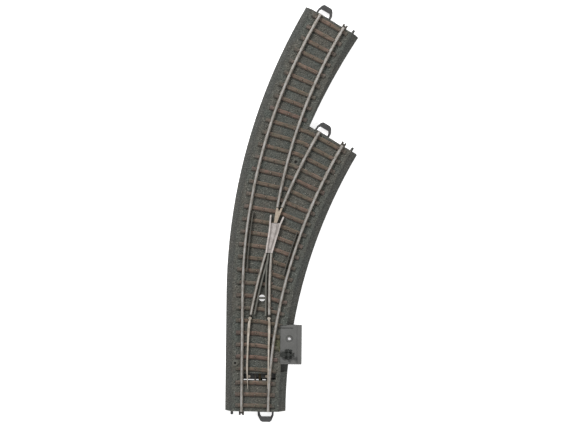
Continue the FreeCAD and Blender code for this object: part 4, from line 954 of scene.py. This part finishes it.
for i in range(SEG):
    for j in range(TUBE):
        nf = bm.faces.new([grid[i][j], grid[(i + 1) % SEG][j], grid[(i + 1) % SEG][(j + 1) % TUBE], grid[i][(j + 1) % TUBE]])
        nf.material_index = 0
bm.to_mesh(lever_me)
bm.free()
lever = bpy.data.objects.new("hand_lever_moulded", lever_me)
scene.collection.objects.link(lever)
lever_me.materials.clear()
lever_me.materials.append(M_LEVER)
lever_me.materials.append(M_HOUSE)
smooth_by_angle(lever, 35)
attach(lever, "hand_lever_body")
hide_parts("hand_lever")

# ------------------------------------------------------------------ blades, fuller towards the heel on the stock rail's side
def fuller_blade(node, name, body, side):
    bm = bmesh.new()
    bm.from_mesh(NODES[node].data)
    bm.transform(NODES[node].matrix_world)
    bmesh.ops.remove_doubles(bm, verts=bm.verts, dist=2e-6)
    for y in [38, 40, 42, 44, 46, 48, 50, 52, 54, 57, 59, 60.4]:
        bmesh.ops.bisect_plane(bm, geom=bm.verts[:] + bm.edges[:] + bm.faces[:], dist=1e-7, plane_co=(0, y * MM, 0), plane_no=(0, 1, 0))
    bm.normal_update()
    moves = []
    for v in bm.verts:
        y = v.co.y / MM
        if v.normal.x * side > 0.25 and 38.0 < y < 60.4:
            t = (y - 38.0) / 14.0
            moves.append((v, side * 0.5 * min(1.0, t * t) * min(1.0, (60.4 - y) / 1.4)))
    for v, d in moves:
        v.co.x += d * MM
    me = bpy.data.meshes.new(name)
    bm.to_mesh(me)
    bm.free()
    ob = bpy.data.objects.new(name, me)
    scene.collection.objects.link(ob)
    me.materials.clear()
    me.materials.append(M_BLADE)
    smooth_by_angle(ob, 35)
    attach(ob, body)
    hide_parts(node)


fuller_blade("left_switch_blade", "left_blade_ground", "left_blade_body", -1)
fuller_blade("right_switch_blade", "right_blade_ground", "right_blade_body", 1)

# ------------------------------------------------------------------ floor, light and camera
me = bpy.data.meshes.new("floor")
S = 3.0
me.from_pydata([(-S, -S, -0.00002), (S, -S, -0.00002), (S, S, -0.00002), (-S, S, -0.00002)], [], [(0, 1, 2, 3)])
floor = bpy.data.objects.new("floor", me)
scene.collection.objects.link(floor)
mf, nt, b = material("floor_white")
b.inputs["Base Color"].default_value = (0.82, 0.82, 0.82, 1)
b.inputs["Roughness"].default_value = 0.9
b.inputs["Specular IOR Level"].default_value = 0.1
b.inputs["Emission Color"].default_value = (1, 1, 1, 1)
b.inputs["Emission Strength"].default_value = 0.72
me.materials.append(mf)

# painted shade under the hollow bed: a darker sheet just above the floor where the bed covers it, with no glow of its
# own, left out round the openings
verts, faces = [], []
shell_me, to_world = NODES["roadbed_shell"].data, NODES["roadbed_shell"].matrix_world
above = BVHTree.FromPolygons([to_world @ v.co for v in shell_me.vertices], [tuple(q.vertices) for q in shell_me.polygons])


def shaded(at, length, start, skip):
    cells, rows = 16, int((length - start) / 2.0)
    step = (length - start) / rows
    for i in range(rows):
        for j in range(cells):
            a, b = -18.4 + 2.3 * j, -16.1 + 2.3 * j
            mid = at(start + (i + 0.5) * step, (a + b) / 2)[0]
            if skip(mid) or math.hypot(mid[0] - 4.0, mid[1] - 74.8) < 4.5:
                continue
            ring = [at(s, off)[0] for s, off in ((start + i * step, a), (start + i * step, b), (start + (i + 1) * step, b), (start + (i + 1) * step, a))]
            ring = [Vector((q[0] / 1000.0, q[1] / 1000.0, -0.000014)) for q in ring]
            if any(above.ray_cast(v, Vector((0, 0, 1)), 0.02)[0] is None for v in ring):
                continue
            n = len(verts)
            verts.extend(ring)
            faces.append((n, n + 1, n + 2, n + 3))


def off_outer(q):
    return abs(q[0]) if q[1] <= LEAD else abs(R - math.hypot(q[0] - R, q[1] - LEAD))


shaded(outer_at, 19.2, 1.0, lambda q: False)
shaded(outer_at, LEAD + R * math.radians(ANG) - 1.0, 21.4, lambda q: False)
shaded(inner_at, R * math.radians(ANG) - 1.0, 60.0, lambda q: off_outer(q) < 18.4)
me = bpy.data.meshes.new("floor_sheet_painted_shade")
me.from_pydata(verts, [], faces)
shade_sheet = bpy.data.objects.new("floor_sheet_painted_shade", me)
scene.collection.objects.link(shade_sheet)
ms, nt, b = material("floor_painted_shade")
# painted shade: a darker grey than the floor, without glow
b.inputs["Base Color"].default_value = (0.35, 0.35, 0.35, 1)
b.inputs["Roughness"].default_value = 0.9
b.inputs["Specular IOR Level"].default_value = 0.1
me.materials.append(ms)

world = bpy.data.worlds.new("studio")
world.use_nodes = True
bg = world.node_tree.nodes["Background"]
bg.inputs[0].default_value = (1.0, 1.0, 1.0, 1)
bg.inputs[1].default_value = 0.5
scene.world = world


def area(name, loc, target, size, power):
    d = bpy.data.lights.new(name, "AREA")
    d.shape = "SQUARE"
    d.size = size
    d.energy = power
    o = bpy.data.objects.new(name, d)
    o.location = loc
    o.rotation_euler = (Vector(target) - Vector(loc)).to_track_quat("-Z", "Y").to_euler()
    scene.collection.objects.link(o)
    return o


area("key", (-0.48, 0.98, 1.0), (0.02, 0.13, 0), 0.3, 17.0)
area("fill", (0.9, -0.2, 1.2), (0.02, 0.13, 0), 0.9, 5.0)

cam_data = bpy.data.cameras.new("camera")
cam_data.sensor_fit = "HORIZONTAL"
cam_data.sensor_width = 36.0
cam_data.lens = 36.0 * 1523.61288 / 571.0
cam_data.clip_start = 0.05
cam_data.clip_end = 20.0
cam = bpy.data.objects.new("camera", cam_data)
rx, ry, rz = 0.00419, 0.03575, 0.01065
cam.matrix_world = (
    Matrix.Translation((0.05475557, 0.12643389, 1.009464))
    @ Matrix.Rotation(rz, 4, "Z") @ Matrix.Rotation(ry, 4, "Y") @ Matrix.Rotation(rx, 4, "X")
)
scene.collection.objects.link(cam)
scene.camera = cam
scene.view_settings.view_transform = "Standard"
scene.view_settings.look = "None"
scene.view_settings.exposure = 0.0
scene.view_settings.gamma = 1.0

bpy.context.view_layer.update()
